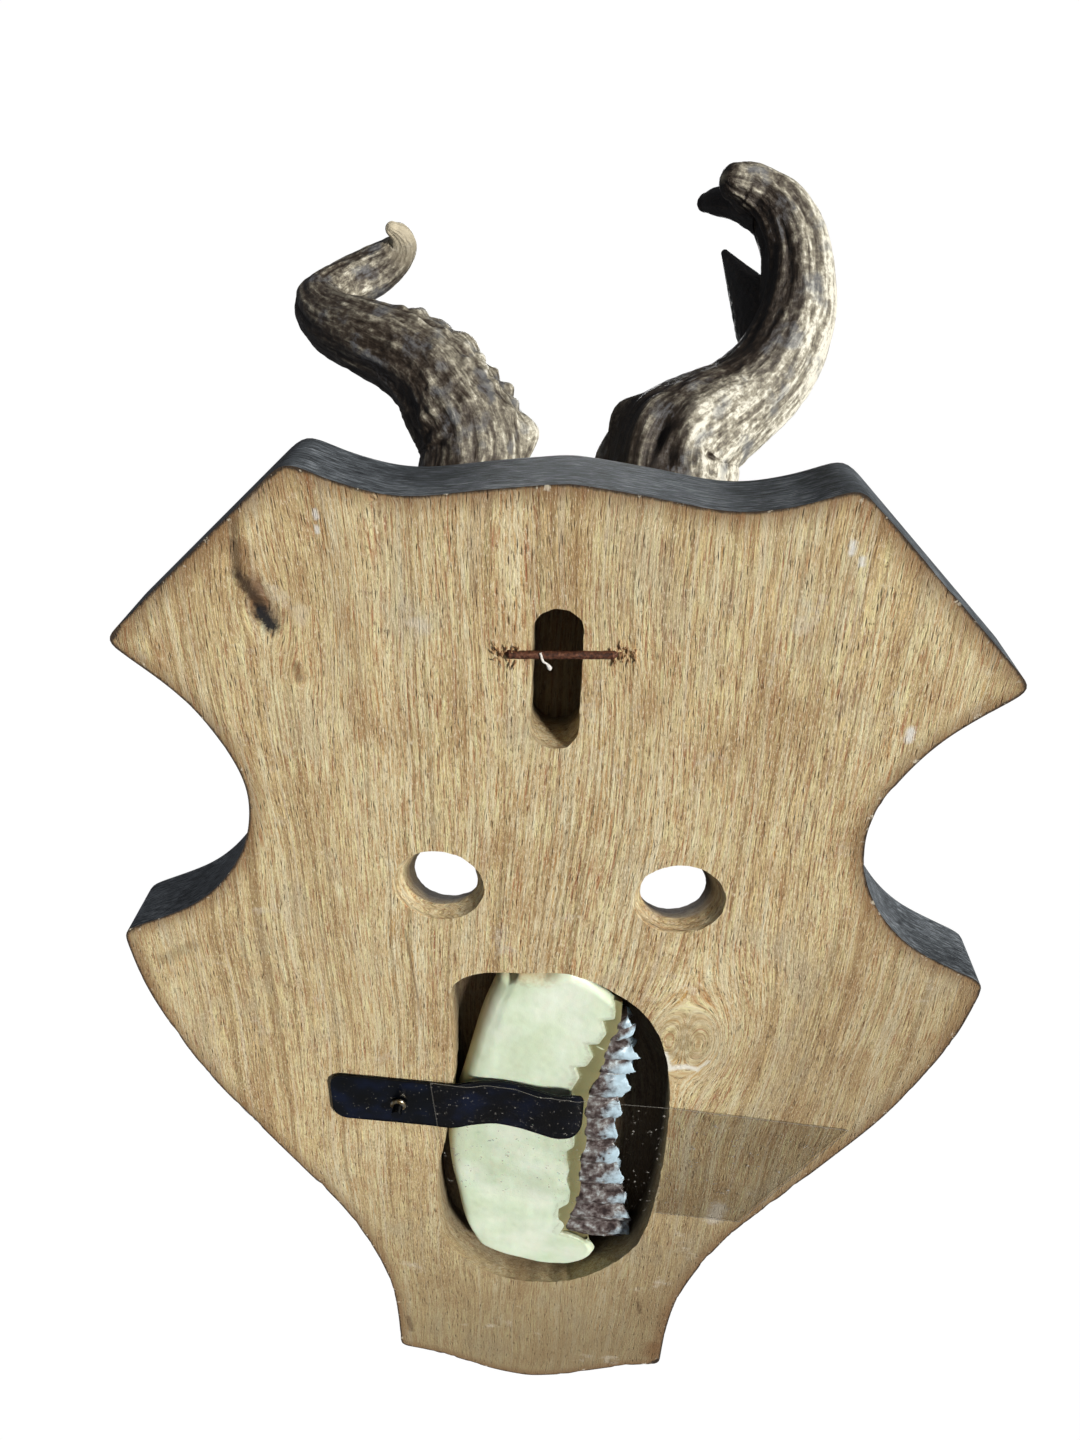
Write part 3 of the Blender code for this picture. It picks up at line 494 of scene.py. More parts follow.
knot_wobble = add(tree, "Math", {0: speckle, 1: 2.6, 2: knot_marks[0]}, operation="MULTIPLY_ADD")
knot_rings = add(tree, "Math", {0: add(tree, "Math", {0: knot_wobble, 1: 3.6}, operation="MULTIPLY")}, operation="SINE")
knot_near = add(tree, "MapRange", {"Value": knot_marks[0], "From Min": 3.6, "From Max": 6.6, "To Min": 0.6,
                                   "To Max": 0.0})
ring_share = add(tree, "MapRange", {"Value": knot_rings, "From Min": -1.0, "From Max": 1.0, "To Min": 0.1,
                                    "To Max": 1.0})
knot_share = add(tree, "Math", {0: knot_near, 1: ring_share}, operation="MULTIPLY")
tone = tinted(tree, tone, "#A48A5C", knot_share, 0.0, 1.0)
tone = tinted(tree, tone, "#8F7F5C", z_mm, -112.0, -185.0, 0.6)
low_right = add(tree, "Math", {0: z_mm, 1: 0.6, 2: x_mm}, operation="MULTIPLY_ADD")
tone = tinted(tree, tone, "#857152", low_right, -72.0, -150.0, 0.7)
scuffs = add(tree, "TexNoise", {"Vector": in_mm, "Scale": 0.085, "Detail": 6.0, "Roughness": 0.72})
tone = tinted(tree, tone, "#E6DDCB", scuffs, 0.60, 0.72, 0.6)

# Strokes on the raw back: a drying crack, the streak over the old branch scar, painted shade in the small
# hole at its core, brown stains, torn fibres and white specks. Each runs from one X and Z to another, with
# its half width in mm, colour and strength.
STROKES = (
    (42.2, 13.0, 40.6, 4.0, 2.0, "#83603F", 0.6), (40.6, 8.0, 38.8, 3.4, 1.9, "#6F5038", 0.65),
    (23.7, -53.4, 22.2, -70.2, 0.22, "#6A5236", 0.6), (22.2, -70.2, 21.3, -84.0, 0.16, "#6A5236", 0.4),
    (42.3, 17.4, 42.7, 9.3, 0.8, "#54402A", 0.7), (42.7, 9.3, 40.0, 4.6, 1.1, "#3C2B1A", 0.9),
    # The near-black stroke is painted shade: the dark of the small hole at the branch scar's core.
    (40.4, 4.0, 39.2, 2.0, 1.5, "#14151A", 0.97), (36.4, -4.0, 36.2, -6.0, 0.9, "#6E5334", 0.7),
    (-28.8, -185.0, -28.4, -189.0, 2.6, "#7A5630", 0.6), (28.8, -180.0, 28.2, -186.0, 0.9, "#5A4226", 0.6),
    (-23.8, -166.0, -24.6, -170.4, 0.7, "#5A4226", 0.6), (35.0, 4.6, 35.1, 3.4, 1.4, "#E2D2B2", 0.6),
    (-36.8, -126.5, -36.4, -131.0, 2.2, "#E6DFCF", 0.6), (60.0, -60.0, 66.0, -64.0, 1.4, "#7C6444", 0.4),
    (-21.6, -80.2, -22.9, -84.3, 0.6, "#F4F0E2", 0.95), (-22.9, -84.3, -25.6, -83.4, 0.85, "#F4F0E2", 0.95),
    (-25.6, -83.4, -27.7, -84.0, 0.7, "#F4F0E2", 0.95), (-27.7, -84.0, -29.5, -81.6, 0.5, "#E9E2CE", 0.9),
    (31.7, 18.6, 31.6, 17.8, 0.5, "#F0EDE6", 0.8), (31.7, 16.5, 31.7, 15.9, 0.4, "#F0EDE6", 0.8),
    (-35.3, 17.8, -35.3, 16.6, 0.6, "#F3F1EA", 0.85), (-36.8, 15.9, -36.9, 15.0, 0.5, "#F3F1EA", 0.85),
    (-48.5, -9.0, -48.6, -10.6, 0.8, "#F3F1EA", 0.85), (62.0, -2.7, 62.2, -3.3, 0.4, "#F0EDE6", 0.8),
)
for from_x, from_z, to_x, to_z, wide, colour, strength in STROKES:
    long_x, long_z = to_x - from_x, to_z - from_z
    square = long_x**2 + long_z**2
    off_x, off_z = off_from(from_x, from_z)
    share = add(tree, "Math", {0: off_x, 1: long_x / square}, operation="MULTIPLY")
    share = add(tree, "Math", {0: off_z, 1: long_z / square, 2: share}, operation="MULTIPLY_ADD", use_clamp=True)
    off_x = add(tree, "Math", {0: share, 1: -long_x, 2: off_x}, operation="MULTIPLY_ADD")
    off_z = add(tree, "Math", {0: share, 1: -long_z, 2: off_z}, operation="MULTIPLY_ADD")
    away = add(tree, "Math", {0: squares(off_x, off_z), 1: 0.5}, operation="POWER")
    away = add(tree, "Math", {0: speckle, 1: wide * 1.6, 2: away}, operation="MULTIPLY_ADD")
    tone = tinted(tree, tone, colour, away, wide * 1.9, wide * 1.1, strength)

# The stain has bled a millimetre or two into the raw rim, and the arris is dark, with pale chips.
rim_mm = add(tree, "Attribute", out=2, attribute_name="rim_mm")
bleed = add(tree, "Math", {0: fibres, 1: -3.2, 2: rim_mm}, operation="MULTIPLY_ADD")
tone = tinted(tree, tone, "#7A5431", bleed, 1.5, -1.6, 0.75)
arris = add(tree, "Math", {0: speckle, 1: -0.9, 2: rim_mm}, operation="MULTIPLY_ADD")
tone = tinted(tree, tone, "#2A2019", arris, 0.05, -0.3, 0.9)
chips = add(tree, "TexNoise", {"Vector": in_mm, "Scale": 0.55, "Detail": 3.0, "Roughness": 0.7})
chip_share = add(tree, "MapRange", {"Value": chips, "From Min": 0.60, "From Max": 0.66})
near_rim = add(tree, "MapRange", {"Value": rim_mm, "From Min": 0.5, "From Max": 1.1, "To Min": 0.8, "To Max": 0.0})
chip_share = add(tree, "Math", {0: chip_share, 1: near_rim}, operation="MULTIPLY")
tone = tinted(tree, tone, "#E4D8C0", chip_share, 0.0, 1.0)
# Painted shade darkens the wood down in the pocket and the slot, the most on their floors.
tone = tinted(tree, tone, "#2B1C10", y_mm, -2.0, -8.2, 0.86)
tree.links.new(tone, shader.inputs["Base Color"])

relief = add(tree, "Math", {0: fibres, 1: 0.16}, operation="MULTIPLY")
relief = add(tree, "Math", {0: pore_mask, 1: -0.2, 2: relief}, operation="MULTIPLY_ADD")
relief = add(tree, "Math", {0: glint, 1: 0.22, 2: relief}, operation="MULTIPLY_ADD")
add(tree, "Bump", {"Strength": 1.0, "Distance": MM, "Height": relief}, to=shader.inputs["Normal"])

# Black stain on oak: thin spirit stain, brushed on and half shiny. The saw's fine lines show through it on
# the edges, and the upright grain on the front.
black_stain, tree, shader = new_material("black stain on oak", 0.5)
in_mm = object_mm(tree)
streaks = add(tree, "TexNoise", {"Vector": add(tree, "Mapping", {"Vector": in_mm, "Scale": (0.35, 5.0, 0.9)}),
                                 "Scale": 1.0, "Detail": 5.0, "Roughness": 0.7})
patches = add(tree, "TexNoise", {"Vector": in_mm, "Scale": 0.12, "Detail": 3.0})
edge_grain = add(tree, "Math", {0: patches, 1: 0.25, 2: streaks}, operation="MULTIPLY_ADD")
front_grain = add(tree, "TexNoise", {"Vector": add(tree, "Mapping", {"Vector": in_mm, "Scale": (1.6, 1.0, 0.05)}),
                                     "Scale": 1.0, "Detail": 6.0, "Roughness": 0.65})
front_grain = add(tree, "Math", {0: front_grain, 1: 0.45, 2: 0.22}, operation="MULTIPLY_ADD")
on_front = add(tree, "MapRange", {"Value": add(tree, "SeparateXYZ", {0: in_mm}, out=1),
                                  "From Min": 0.8 - BOARD_THICK, "From Max": 0.3 - BOARD_THICK})
grain = add(tree, "Mix", {0: on_front, 2: edge_grain, 3: front_grain}, data_type="FLOAT")
stain_tone = add(tree, "ValToRGB", {"Fac": grain}, stops=(
    (0.42, "#131417"), (0.56, "#3E4347"), (0.68, "#737A80"), (0.82, "#BCC3C9")))
grit = add(tree, "TexNoise", {"Vector": in_mm, "Scale": 2.2, "Detail": 4.0})
tree.links.new(tinted(tree, stain_tone, "#8E8C84", grit, 0.70, 0.76), shader.inputs["Base Color"])
add(tree, "MapRange", {"Value": streaks, "To Min": 0.38, "To Max": 0.62}, to=shader.inputs["Roughness"])
add(tree, "Bump", {"Strength": 0.8, "Distance": 0.25 * MM, "Height": grain}, to=shader.inputs["Normal"])

shield.data.materials.append(raw_oak)
shield.data.materials.append(black_stain)
face_middles = np.array([face.center for face in shield.data.polygons]) / MM
for face, middle, distance in zip(shield.data.polygons, face_middles, from_outline(face_middles)):
    on_side = distance < STAINED_RIM and face.normal.y < 0.8
    face.material_index = int(on_side or middle[1] < -BOARD_THICK + 0.3)
shield.data.shade_smooth()
shield.data.set_sharp_from_angle(angle=math.radians(40))
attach(shield, "root")
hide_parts("shield_board")


# Hanging wire: a rusty iron staple pressed into the wood across the slot. Its two ends tore the
# oak up into splinters, and a scrap of white thread is caught on its middle.
WIRE_R = 0.6
WIRE_Y = 0.2
WIRE_LEG = 5.0
WIRE_BEND_R = 1.4
WIRE_LEGS = ((7.6, -0.3, 1), (-7.4, 0.4, -1))
SPLINTERS_EACH_END = 26


def rings_round(route, sides, swell=None, first_side=(0.0, 0.0, 1.0)):
    """Rings of points in mm round a route of X, Y, Z and radius. swell adds mm by distance along and angle."""
    route = np.array(route, float)
    centres = route[:, :3]
    headings = np.gradient(centres, axis=0)
    lengths = np.concatenate([[0.0], np.cumsum(np.linalg.norm(np.diff(centres, axis=0), axis=1))])
    side = Vector(first_side)
    rings = []
    for centre, heading, radius, along in zip(centres, headings, route[:, 3], lengths):
        forward = Vector(heading).normalized()
        side = (side - forward * side.dot(forward)).normalized()
        across = forward.cross(side)
        ring = []
        for k in range(sides):
            angle = 2 * math.pi * k / sides
            reach = radius + (swell(along, angle, radius) if swell else 0.0)
            ring.append(Vector(centre) + (side * math.cos(angle) + across * math.sin(angle)) * reach)
        rings.append(ring)
    return rings


wire_knots = []
for leg_x, leg_z, order in WIRE_LEGS:
    centre_x = leg_x - math.copysign(WIRE_BEND_R, leg_x)
    leg = [(leg_x, WIRE_Y - WIRE_LEG, leg_z, WIRE_R), (leg_x, WIRE_Y - 3.0, leg_z, WIRE_R)]
    for angle in np.linspace(0.0, math.pi / 2, 6):
        reach = math.copysign(WIRE_BEND_R, leg_x) * math.cos(angle)
        leg.append((centre_x + reach, WIRE_Y - WIRE_BEND_R + WIRE_BEND_R * math.sin(angle), leg_z, WIRE_R))
    wire_knots.extend(leg[::order])


def rusted(along, angle, radius):
    """How far the rust's scale stands out in mm."""
    place = Vector((math.cos(angle), math.sin(angle), along * 0.9))
    return 0.07 * noise.noise(place * 1.7) + 0.03 * noise.noise(place * 5.0) - 0.03


wire = skin("hanging_wire_finished", rings_round(through(wire_knots, 0.16), 24, rusted))
rust, tree, shader = new_material("rusty iron wire", 0.62)
in_mm = object_mm(tree)
scale_noise = add(tree, "TexNoise", {"Vector": in_mm, "Scale": 2.4, "Detail": 5.0, "Roughness": 0.7})
add(tree, "ValToRGB", {"Fac": scale_noise}, to=shader.inputs["Base Color"], stops=(
    (0.3, "#1E100C"), (0.45, "#442719"), (0.58, "#70442F"), (0.7, "#A07C66")))
add(tree, "MapRange", {"Value": scale_noise, "From Min": 0.55, "From Max": 0.7, "To Min": 0.2, "To Max": 0.9},
    to=shader.inputs["Metallic"])
add(tree, "Bump", {"Strength": 0.7, "Distance": 0.1 * MM, "Height": scale_noise}, to=shader.inputs["Normal"])
wire.data.materials.append(rust)
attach(wire, "root")
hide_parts("hanging_wire")

THREAD_SCRAP = (
    (2.9, 0.7, 0.5, 0.16), (2.5, 1.0, -0.6, 0.17), (2.0, 0.6, -1.2, 0.15), (1.6, 0.45, -1.9, 0.34),
    (1.5, 0.4, -2.3, 0.12),
)
thread = skin("thread_scrap", rings_round(through(THREAD_SCRAP, 0.15), 10))
cotton, tree, shader = new_material("white cotton thread", 0.9)
in_mm = object_mm(tree)
lint = add(tree, "TexNoise", {"Vector": in_mm, "Scale": 5.0, "Detail": 3.0})
add(tree, "ValToRGB", {"Fac": lint}, stops=((0.35, "#C9C4BC"), (0.6, "#F3F1EC")), to=shader.inputs["Base Color"])
thread.data.materials.append(cotton)
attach(thread, "root")

splinters = []
draw = random.Random(11)
for end_x, end_z, lean in ((8.0, -0.4, 1), (-8.6, 0.4, -1)):
    for _ in range(SPLINTERS_EACH_END):
        root_x = end_x + draw.uniform(-2.2, 1.6) * lean
        root_z = end_z + draw.uniform(-1.0, 1.0)
        long = draw.uniform(0.5, 1.7)
        turn = draw.uniform(-0.9, 0.9) + (0 if draw.random() < 0.6 else math.pi)
        rise = draw.uniform(0.1, 0.65)
        tip_x, tip_z = root_x + long * math.sin(turn) * 0.5, root_z + long * math.cos(turn)
        wide = draw.uniform(0.07, 0.2)
        bent = ((root_x + tip_x) / 2, rise * 0.7, (root_z + tip_z) / 2, wide * 0.8)
        route = through([(root_x, -0.12, root_z, wide), bent, (tip_x, rise, tip_z, 0.02)], 0.35)
        splinters.append(skin("splinter", rings_round(route, 5)))
only(splinters[0])
for piece in splinters:
    piece.select_set(True)
bpy.ops.object.join()
torn_wood = bpy.context.object
torn_wood.name = "wire_splinters"
fresh_oak, tree, shader = new_material("freshly torn oak", 0.85)
in_mm = object_mm(tree)
torn = add(tree, "TexNoise", {"Vector": in_mm, "Scale": 1.6, "Detail": 4.0})
add(tree, "ValToRGB", {"Fac": torn}, to=shader.inputs["Base Color"], stops=(
    (0.35, "#5E3D22"), (0.5, "#A9835A"), (0.65, "#D7BC93")))
torn_wood.data.materials.append(fresh_oak)
torn_wood.data.shade_flat()
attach(torn_wood, "root")


# Jaw bone: the rear half of a lower jaw, boiled and bleached to a greenish cream, sawn off at both
# ends. Its flat cheek ends in thin scalloped lips of bone that overlap the necks of the teeth.
JAW_FLOOR = -8.6
JAW_CHEEK = -2.15
JAW_STEP = -3.0
JAW_TOP_EDGE = ((8.1, -65.6), (6.4, -66.9), (4.7, -64.6), (0.4, -65.2), (-2.2, -64.0), (-4.2, -63.8), (-7.4, -65.6),
                (-10.2, -68.2), (-12.0, -70.3))
JAW_LOW_EDGE = ((8.1, -65.6), (9.6, -70.0), (11.7, -77.4), (15.0, -93.2), (16.7, -100.8), (18.5, -112.2),
                (18.2, -122.2), (17.0, -131.0), (15.9, -140.1), (13.4, -149.0))
JAW_LAST_EDGE = ((13.4, -149.0), (10.6, -152.2), (6.5, -154.7), (2.4, -156.0), (-1.3, -157.0), (-5.0, -157.5),
                 (-8.0, -157.3), (-11.0, -155.3), (-12.6, -153.0), (-13.0, -150.4), (-11.6, -147.5))
JAW_LIP = ((-12.0, -70.3), (-12.3, -72.8), (-12.3, -74.9), (-10.2, -75.4), (-11.1, -78.6), (-9.9, -81.6), (-7.9, -82.0),
           (-9.1, -85.2), (-8.0, -88.1), (-6.0, -88.6), (-6.9, -91.6), (-5.4, -96.2), (-5.9, -99.5), (-6.4, -104.0),
           (-6.7, -108.0), (-6.9, -112.3), (-5.4, -113.6), (-5.5, -117.0), (-6.1, -120.1), (-5.5, -123.2),
           (-6.4, -127.0), (-6.1, -130.6), (-3.7, -132.0), (-3.5, -134.5), (-2.9, -137.0), (-4.9, -138.2),
           (-3.7, -140.6), (-3.0, -142.9), (-5.4, -143.9), (-7.4, -144.6), (-9.6, -145.8), (-11.6, -147.5))
JAW_NECK = ((-13.6, -71.6), (-13.5, -78.8), (-12.0, -83.1), (-11.2, -90.3), (-9.5, -97.0), (-8.9, -101.3),
            (-9.2, -108.0), (-9.4, -114.1), (-8.7, -120.0), (-9.0, -130.1), (-7.8, -138.1), (-6.8, -144.0),
            (-9.0, -146.4), (-11.9, -148.0))


def resampled(points, count):
    """The polyline's points again, this many of them, evenly spaced along it."""
    points = np.array(points, float)
    along = np.concatenate([[0.0], np.cumsum(np.linalg.norm(np.diff(points, axis=0), axis=1))])
    wanted = np.linspace(0.0, along[-1], count)
    return np.stack([np.interp(wanted, along, column) for column in points.T], axis=1)


ROWS, COLUMNS = 190, 64
share_down = np.linspace(0.0, 1.0, ROWS)
share_over = np.linspace(0.0, 1.0, COLUMNS)
left = resampled(through(JAW_LOW_EDGE, 0.3), ROWS)
right = resampled(JAW_LIP, ROWS)
top = resampled(JAW_TOP_EDGE, COLUMNS)
last = resampled(through(JAW_LAST_EDGE, 0.3), COLUMNS)
plate = np.zeros((ROWS, COLUMNS, 2))
for i, v in enumerate(share_down):
    for j, u in enumerate(share_over):
        edges = (1 - u) * left[i] + u * right[i] + (1 - v) * top[j] + v * last[j]
        corners_part = (1 - u) * (1 - v) * left[0] + u * (1 - v) * right[0] + (1 - u) * v * left[-1] + u * v * right[-1]
        plate[i, j] = edges - corners_part
neck = resampled(through(JAW_NECK, 0.3), ROWS)


def laid_on(piece, rings, values, elsewhere):
    """For each of the piece's vertices, the value of the ring point in its place, or else the one for elsewhere."""
    kept = {tuple(np.round(point, 3)): value for point, value in zip(np.array(rings).reshape(-1, 3), values)}
    return [kept.get(tuple(np.round(point, 3)), elsewhere) for point in points_of(piece)]


# Each ring runs over the flat cheek to the lip, down its edge to the necks of the teeth, and back below.
jaw_rings = []
from_lips = []
for i in range(ROWS):
    end_mm = min(np.linalg.norm(plate[i, COLUMNS // 2] - plate[end, COLUMNS // 2]) for end in (0, -1))
    end_fall = 1.5 * (1 - min(1.0, end_mm / 2.2)) ** 2
    ring = []
    for j in range(COLUMNS):
        x, z = plate[i, j]
        from_left = np.linalg.norm(plate[i, j] - plate[i, 0])
        from_lip = np.linalg.norm(plate[i, j] - plate[i, -1])
        round_off = 3.2 * (1 - math.sqrt(1 - (1 - min(1.0, from_left / 4.5)) ** 2))
        lip_fall = 0.28 * (1 - min(1.0, from_lip / 0.5)) ** 2
        place = Vector((x / 7, z / 9, 1.0))
        swell = 0.28 * noise.noise(place) + 0.05 * noise.noise(place * 5)
        ring.append((x, JAW_CHEEK - round_off - end_fall - lip_fall + swell, z))
        from_lips.append(from_lip)
    lip_x, lip_z = plate[i, -1]
    neck_x, neck_z = neck[i]
    for share, y in ((0.0, JAW_STEP), (0.35, -3.12), (0.7, -3.3), (1.0, -3.75)):
        ring.append((lip_x + 0.12 + (neck_x - lip_x) * share, y, lip_z + (neck_z - lip_z) * share))
        from_lips.append(-share * 4 - 0.8)
    low_x, low_z = plate[i, 0]
    for share, y in ((0.02, -6.0), (0.06, -8.2), (0.15, JAW_FLOOR), (0.5, JAW_FLOOR), (0.85, JAW_FLOOR), (0.97, -7.4)):
        ring.append((neck_x + (low_x - neck_x) * share, y, neck_z + (low_z - neck_z) * share))
        from_lips.append(-8.0)
    jaw_rings.append(ring)
jaw = skin("jaw_bone_finished", jaw_rings)
paint(jaw, "from_lip", laid_on(jaw, jaw_rings, from_lips, 3.0))

bone, tree, shader = new_material("boiled jaw bone", 0.42, Subsurface_Weight=0.12, Subsurface_Scale=0.002)
in_mm = object_mm(tree)
x_mm, y_mm, z_mm = (add(tree, "SeparateXYZ", {0: in_mm}, out=k) for k in range(3))
clouds = add(tree, "TexNoise", {"Vector": in_mm, "Scale": 0.12, "Detail": 3.0})
fine = add(tree, "TexNoise", {"Vector": in_mm, "Scale": 1.6, "Detail": 4.0, "Roughness": 0.6})
bone_tone = add(tree, "ValToRGB", {"Fac": clouds}, stops=((0.35, "#DAE9CB"), (0.5, "#E4F2D8"), (0.68, "#F0FAE5")))
# Olive old fat and painted shade under the lips, a brown stain at the top's notch, and tan low on the
# rounded side, partly the bone's own tan and partly painted shade.
from_lip = add(tree, "Attribute", out=2, attribute_name="from_lip")
# Painted shade with the old fat: the band under the lips darkens towards the teeth.
lip_fat_and_shade = add(tree, "Math", {0: fine, 1: 2.2, 2: from_lip}, operation="MULTIPLY_ADD")
bone_tone = tinted(tree, bone_tone, "#66653B", lip_fat_and_shade, 2.7, -0.6, 0.95)
top_stain = add(tree, "Math", {0: fine, 1: 3.0, 2: z_mm}, operation="MULTIPLY_ADD")
top_share = add(tree, "MapRange", {"Value": top_stain, "From Min": -66.2, "From Max": -63.4, "To Max": 0.75})
by_notch = add(tree, "MapRange", {"Value": x_mm, "From Min": -3.0, "From Max": 0.5})
top_share = add(tree, "Math", {0: top_share, 1: by_notch}, operation="MULTIPLY")
bone_tone = tinted(tree, bone_tone, "#A87F38", top_share, 0.0, 1.0)
# Partly the bone's own tan, partly painted shade: darker where the cheek rounds down, away from the light.
bone_tone = tinted(tree, bone_tone, "#A89C70", y_mm, -2.2, -4.8, 0.6)
tan_and_shade_side = add(tree, "MapRange", {"Value": y_mm, "From Min": -3.4, "From Max": -6.5, "To Max": 0.8})
tan_and_shade_side = add(tree, "Math", {0: tan_and_shade_side, 1: fine}, operation="MULTIPLY")
tree.links.new(tinted(tree, bone_tone, "#8A6A42", tan_and_shade_side, 0.0, 1.0), shader.inputs["Base Color"])
add(tree, "Bump", {"Strength": 0.3, "Distance": 0.12 * MM, "Height": fine}, to=shader.inputs["Normal"])
jaw.data.materials.append(bone)
jaw.data.set_sharp_from_angle(angle=math.radians(50))
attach(jaw, "root")
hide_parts("jaw_bone")


# Cheek teeth: six crowns of enamel folded round brown dentine, each grown in lobes that end in a
# pale cusp. The boiled teeth are brown from old tartar, with bluish white enamel bare at the cusps.
# Each tooth: its ends in Z, its lobes, how pale it is, how far it leans, and its crest as Z and X.
TEETH = (
    ("premolar_2", -76.2, -83.3, 2, 0.35, 0.35, ((-76.6, -14.6), (-80.0, -16.6), (-83.0, -15.2))),
    ("premolar_3", -83.7, -92.6, 2, 0.45, 0.0,
     ((-83.9, -15.6), (-86.6, -18.0), (-88.6, -16.3), (-90.8, -17.4), (-92.5, -16.0))),
    ("premolar_4", -92.6, -99.2, 1, 0.28, 0.0, ((-92.8, -15.6), (-95.4, -17.0), (-99.0, -14.9))),
    ("molar_1", -99.5, -113.6, 2, 0.2, 0.0,
     ((-99.7, -14.7), (-103.2, -15.8), (-106.4, -14.3), (-110.6, -15.5), (-113.4, -14.6))),
    ("molar_2", -113.9, -129.0, 2, 0.22, 0.0,
     ((-114.1, -14.7), (-116.2, -16.2), (-120.3, -15.4), (-124.5, -17.7), (-128.9, -17.2))),
    ("molar_3", -129.3, -147.8, 3, 0.0, 0.0,
     ((-129.5, -17.2), (-131.0, -18.7), (-135.8, -18.2), (-139.9, -20.9), (-142.7, -20.1), (-146.0, -20.4),
      (-147.7, -18.6))),
)
TOOTH_SIDES = 72
TOOTH_CHEEK = -3.2
TOOTH_TONGUE = -8.2
TOOTH_SIDE = np.array([(z, x) for x, z in JAW_NECK][::-1])


def neck_x_at(z):
    """The X in mm of the teeth's necks at this Z."""
    return float(np.interp(z, TOOTH_SIDE[:, 0], TOOTH_SIDE[:, 1]))


enamel, tree, shader = new_material("stained tooth enamel", 0.32)
in_mm = object_mm(tree)
tartar = add(tree, "TexNoise", {"Vector": in_mm, "Scale": 0.6, "Detail": 5.0, "Roughness": 0.62})
height = add(tree, "Attribute", out=2, attribute_name="crown_height")
mottle = add(tree, "ValToRGB", {"Fac": tartar}, stops=(
    (0.34, "#2B2120"), (0.45, "#554947"), (0.54, "#7E7775"), (0.62, "#A6A9A8"), (0.72, "#D8E4E8")))
bare = add(tree, "Math", {0: tartar, 1: 1.0, 2: height}, operation="MULTIPLY_ADD")
tree.links.new(tinted(tree, mottle, "#C3DCEA", bare, 1.08, 1.55), shader.inputs["Base Color"])
add(tree, "Bump", {"Strength": 0.6, "Distance": 0.25 * MM, "Height": tartar}, to=shader.inputs["Normal"])

for tooth_name, front, back, lobes, pale, lean, crest in TEETH:
    crest = np.array(crest)[::-1]
    middle_z = (front + back) / 2
    middle_y = (TOOTH_CHEEK + TOOTH_TONGUE) / 2
    half_z = abs(front - back) / 2
    half_y = (TOOTH_CHEEK - TOOTH_TONGUE) / 2
    rings = []
    heights = []
    levels = [(share, 0.0) for share in np.linspace(0.0, 1.0, 22)]
    levels += [(1.0, inward) for inward in np.linspace(0.12, 0.96, 12)]
    for level, inward in levels:
        ring = []
        for k in range(TOOTH_SIDES):
            angle = 2 * math.pi * k / TOOTH_SIDES
            c, s = math.cos(angle), math.sin(angle)
            z_share = math.copysign(abs(c) ** 0.55, c)
            y_share = math.copysign(abs(s) ** 0.7, s)
            phase = (z_share + 1) / 2 * lobes
            pinch = abs(math.cos(math.pi * phase)) if lobes > 1 else 0.0
            fold_deep = 0.6 if 0.06 < phase / lobes < 0.94 else 0.0
            fold = 1.0 - fold_deep * pinch**4 * (0.5 + 0.5 * level)
            belly = 0.80 + 0.20 * math.sin(math.pi * min(1.0, 0.15 + level * 0.85))
            shrink = 1.0 - inward
            z = middle_z + half_z * z_share * (0.93 + 0.07 * belly) * shrink
            y = middle_y + half_y * y_share * belly * fold * shrink
            tip_x = float(np.interp(z, crest[:, 0], crest[:, 1]))
            if s < 0:
                tip_x += 0.5 * abs(s)
            base_x = neck_x_at(z) + 0.5
            x = base_x + (tip_x - base_x) * level
            x += 1.5 * math.sin(math.pi / 2 * min(1.0, inward * 1.6))
            place = Vector((x, y, z))
            bite = 0.22 * noise.noise(place * 0.9) + 0.09 * noise.noise(place * 2.6)
            bite += 0.2 * math.sin(3.4 * z + 2.2 * x) * level
            y = min(y + bite * y_share, TOOTH_CHEEK + 0.1)
            ring.append((x, y, z + lean * (base_x - x)))
            shown = level if inward == 0.0 else max(0.0, 1.0 - inward * 1.4)
            heights.append(shown + pale - 0.7 * pinch**4)
        rings.append(ring)
    tooth = skin(f"{tooth_name}_finished", rings)
    paint(tooth, "crown_height", laid_on(tooth, rings, heights, 0.5))
    tooth.data.materials.append(enamel)
    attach(tooth, "root")
    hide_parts(tooth_name)


# Jaw clip: a strip of blued spring steel, nailed at one end. It presses on the jaw and curls down
# at its free end. A small bright nail head holds it.
CLIP_WIDE = 12.6
CLIP_THICK = 0.55
CLIP_CORNER_R = 2.6
CLIP_PROFILE = (
    (39.5, 0.6), (30.0, 0.6), (22.0, 0.6), (17.0, 0.65), (13.0, -0.4), (9.0, -1.1), (4.5, -0.8), (0.5, 0.1),
    (-2.5, 0.8), (-4.8, 0.7), (-6.6, 0.1), (-7.8, -0.9),
)
CLIP_EDGE_R = 0.12
NAIL_X = 26.8
NAIL_R = 0.7
NAIL_HEAD_R = 1.48


def clip_z(x):
    """The Z in mm of the strip's middle line, which slants a little."""
    return -97.5 - 0.045 * (CLIP_PROFILE[0][0] - x)


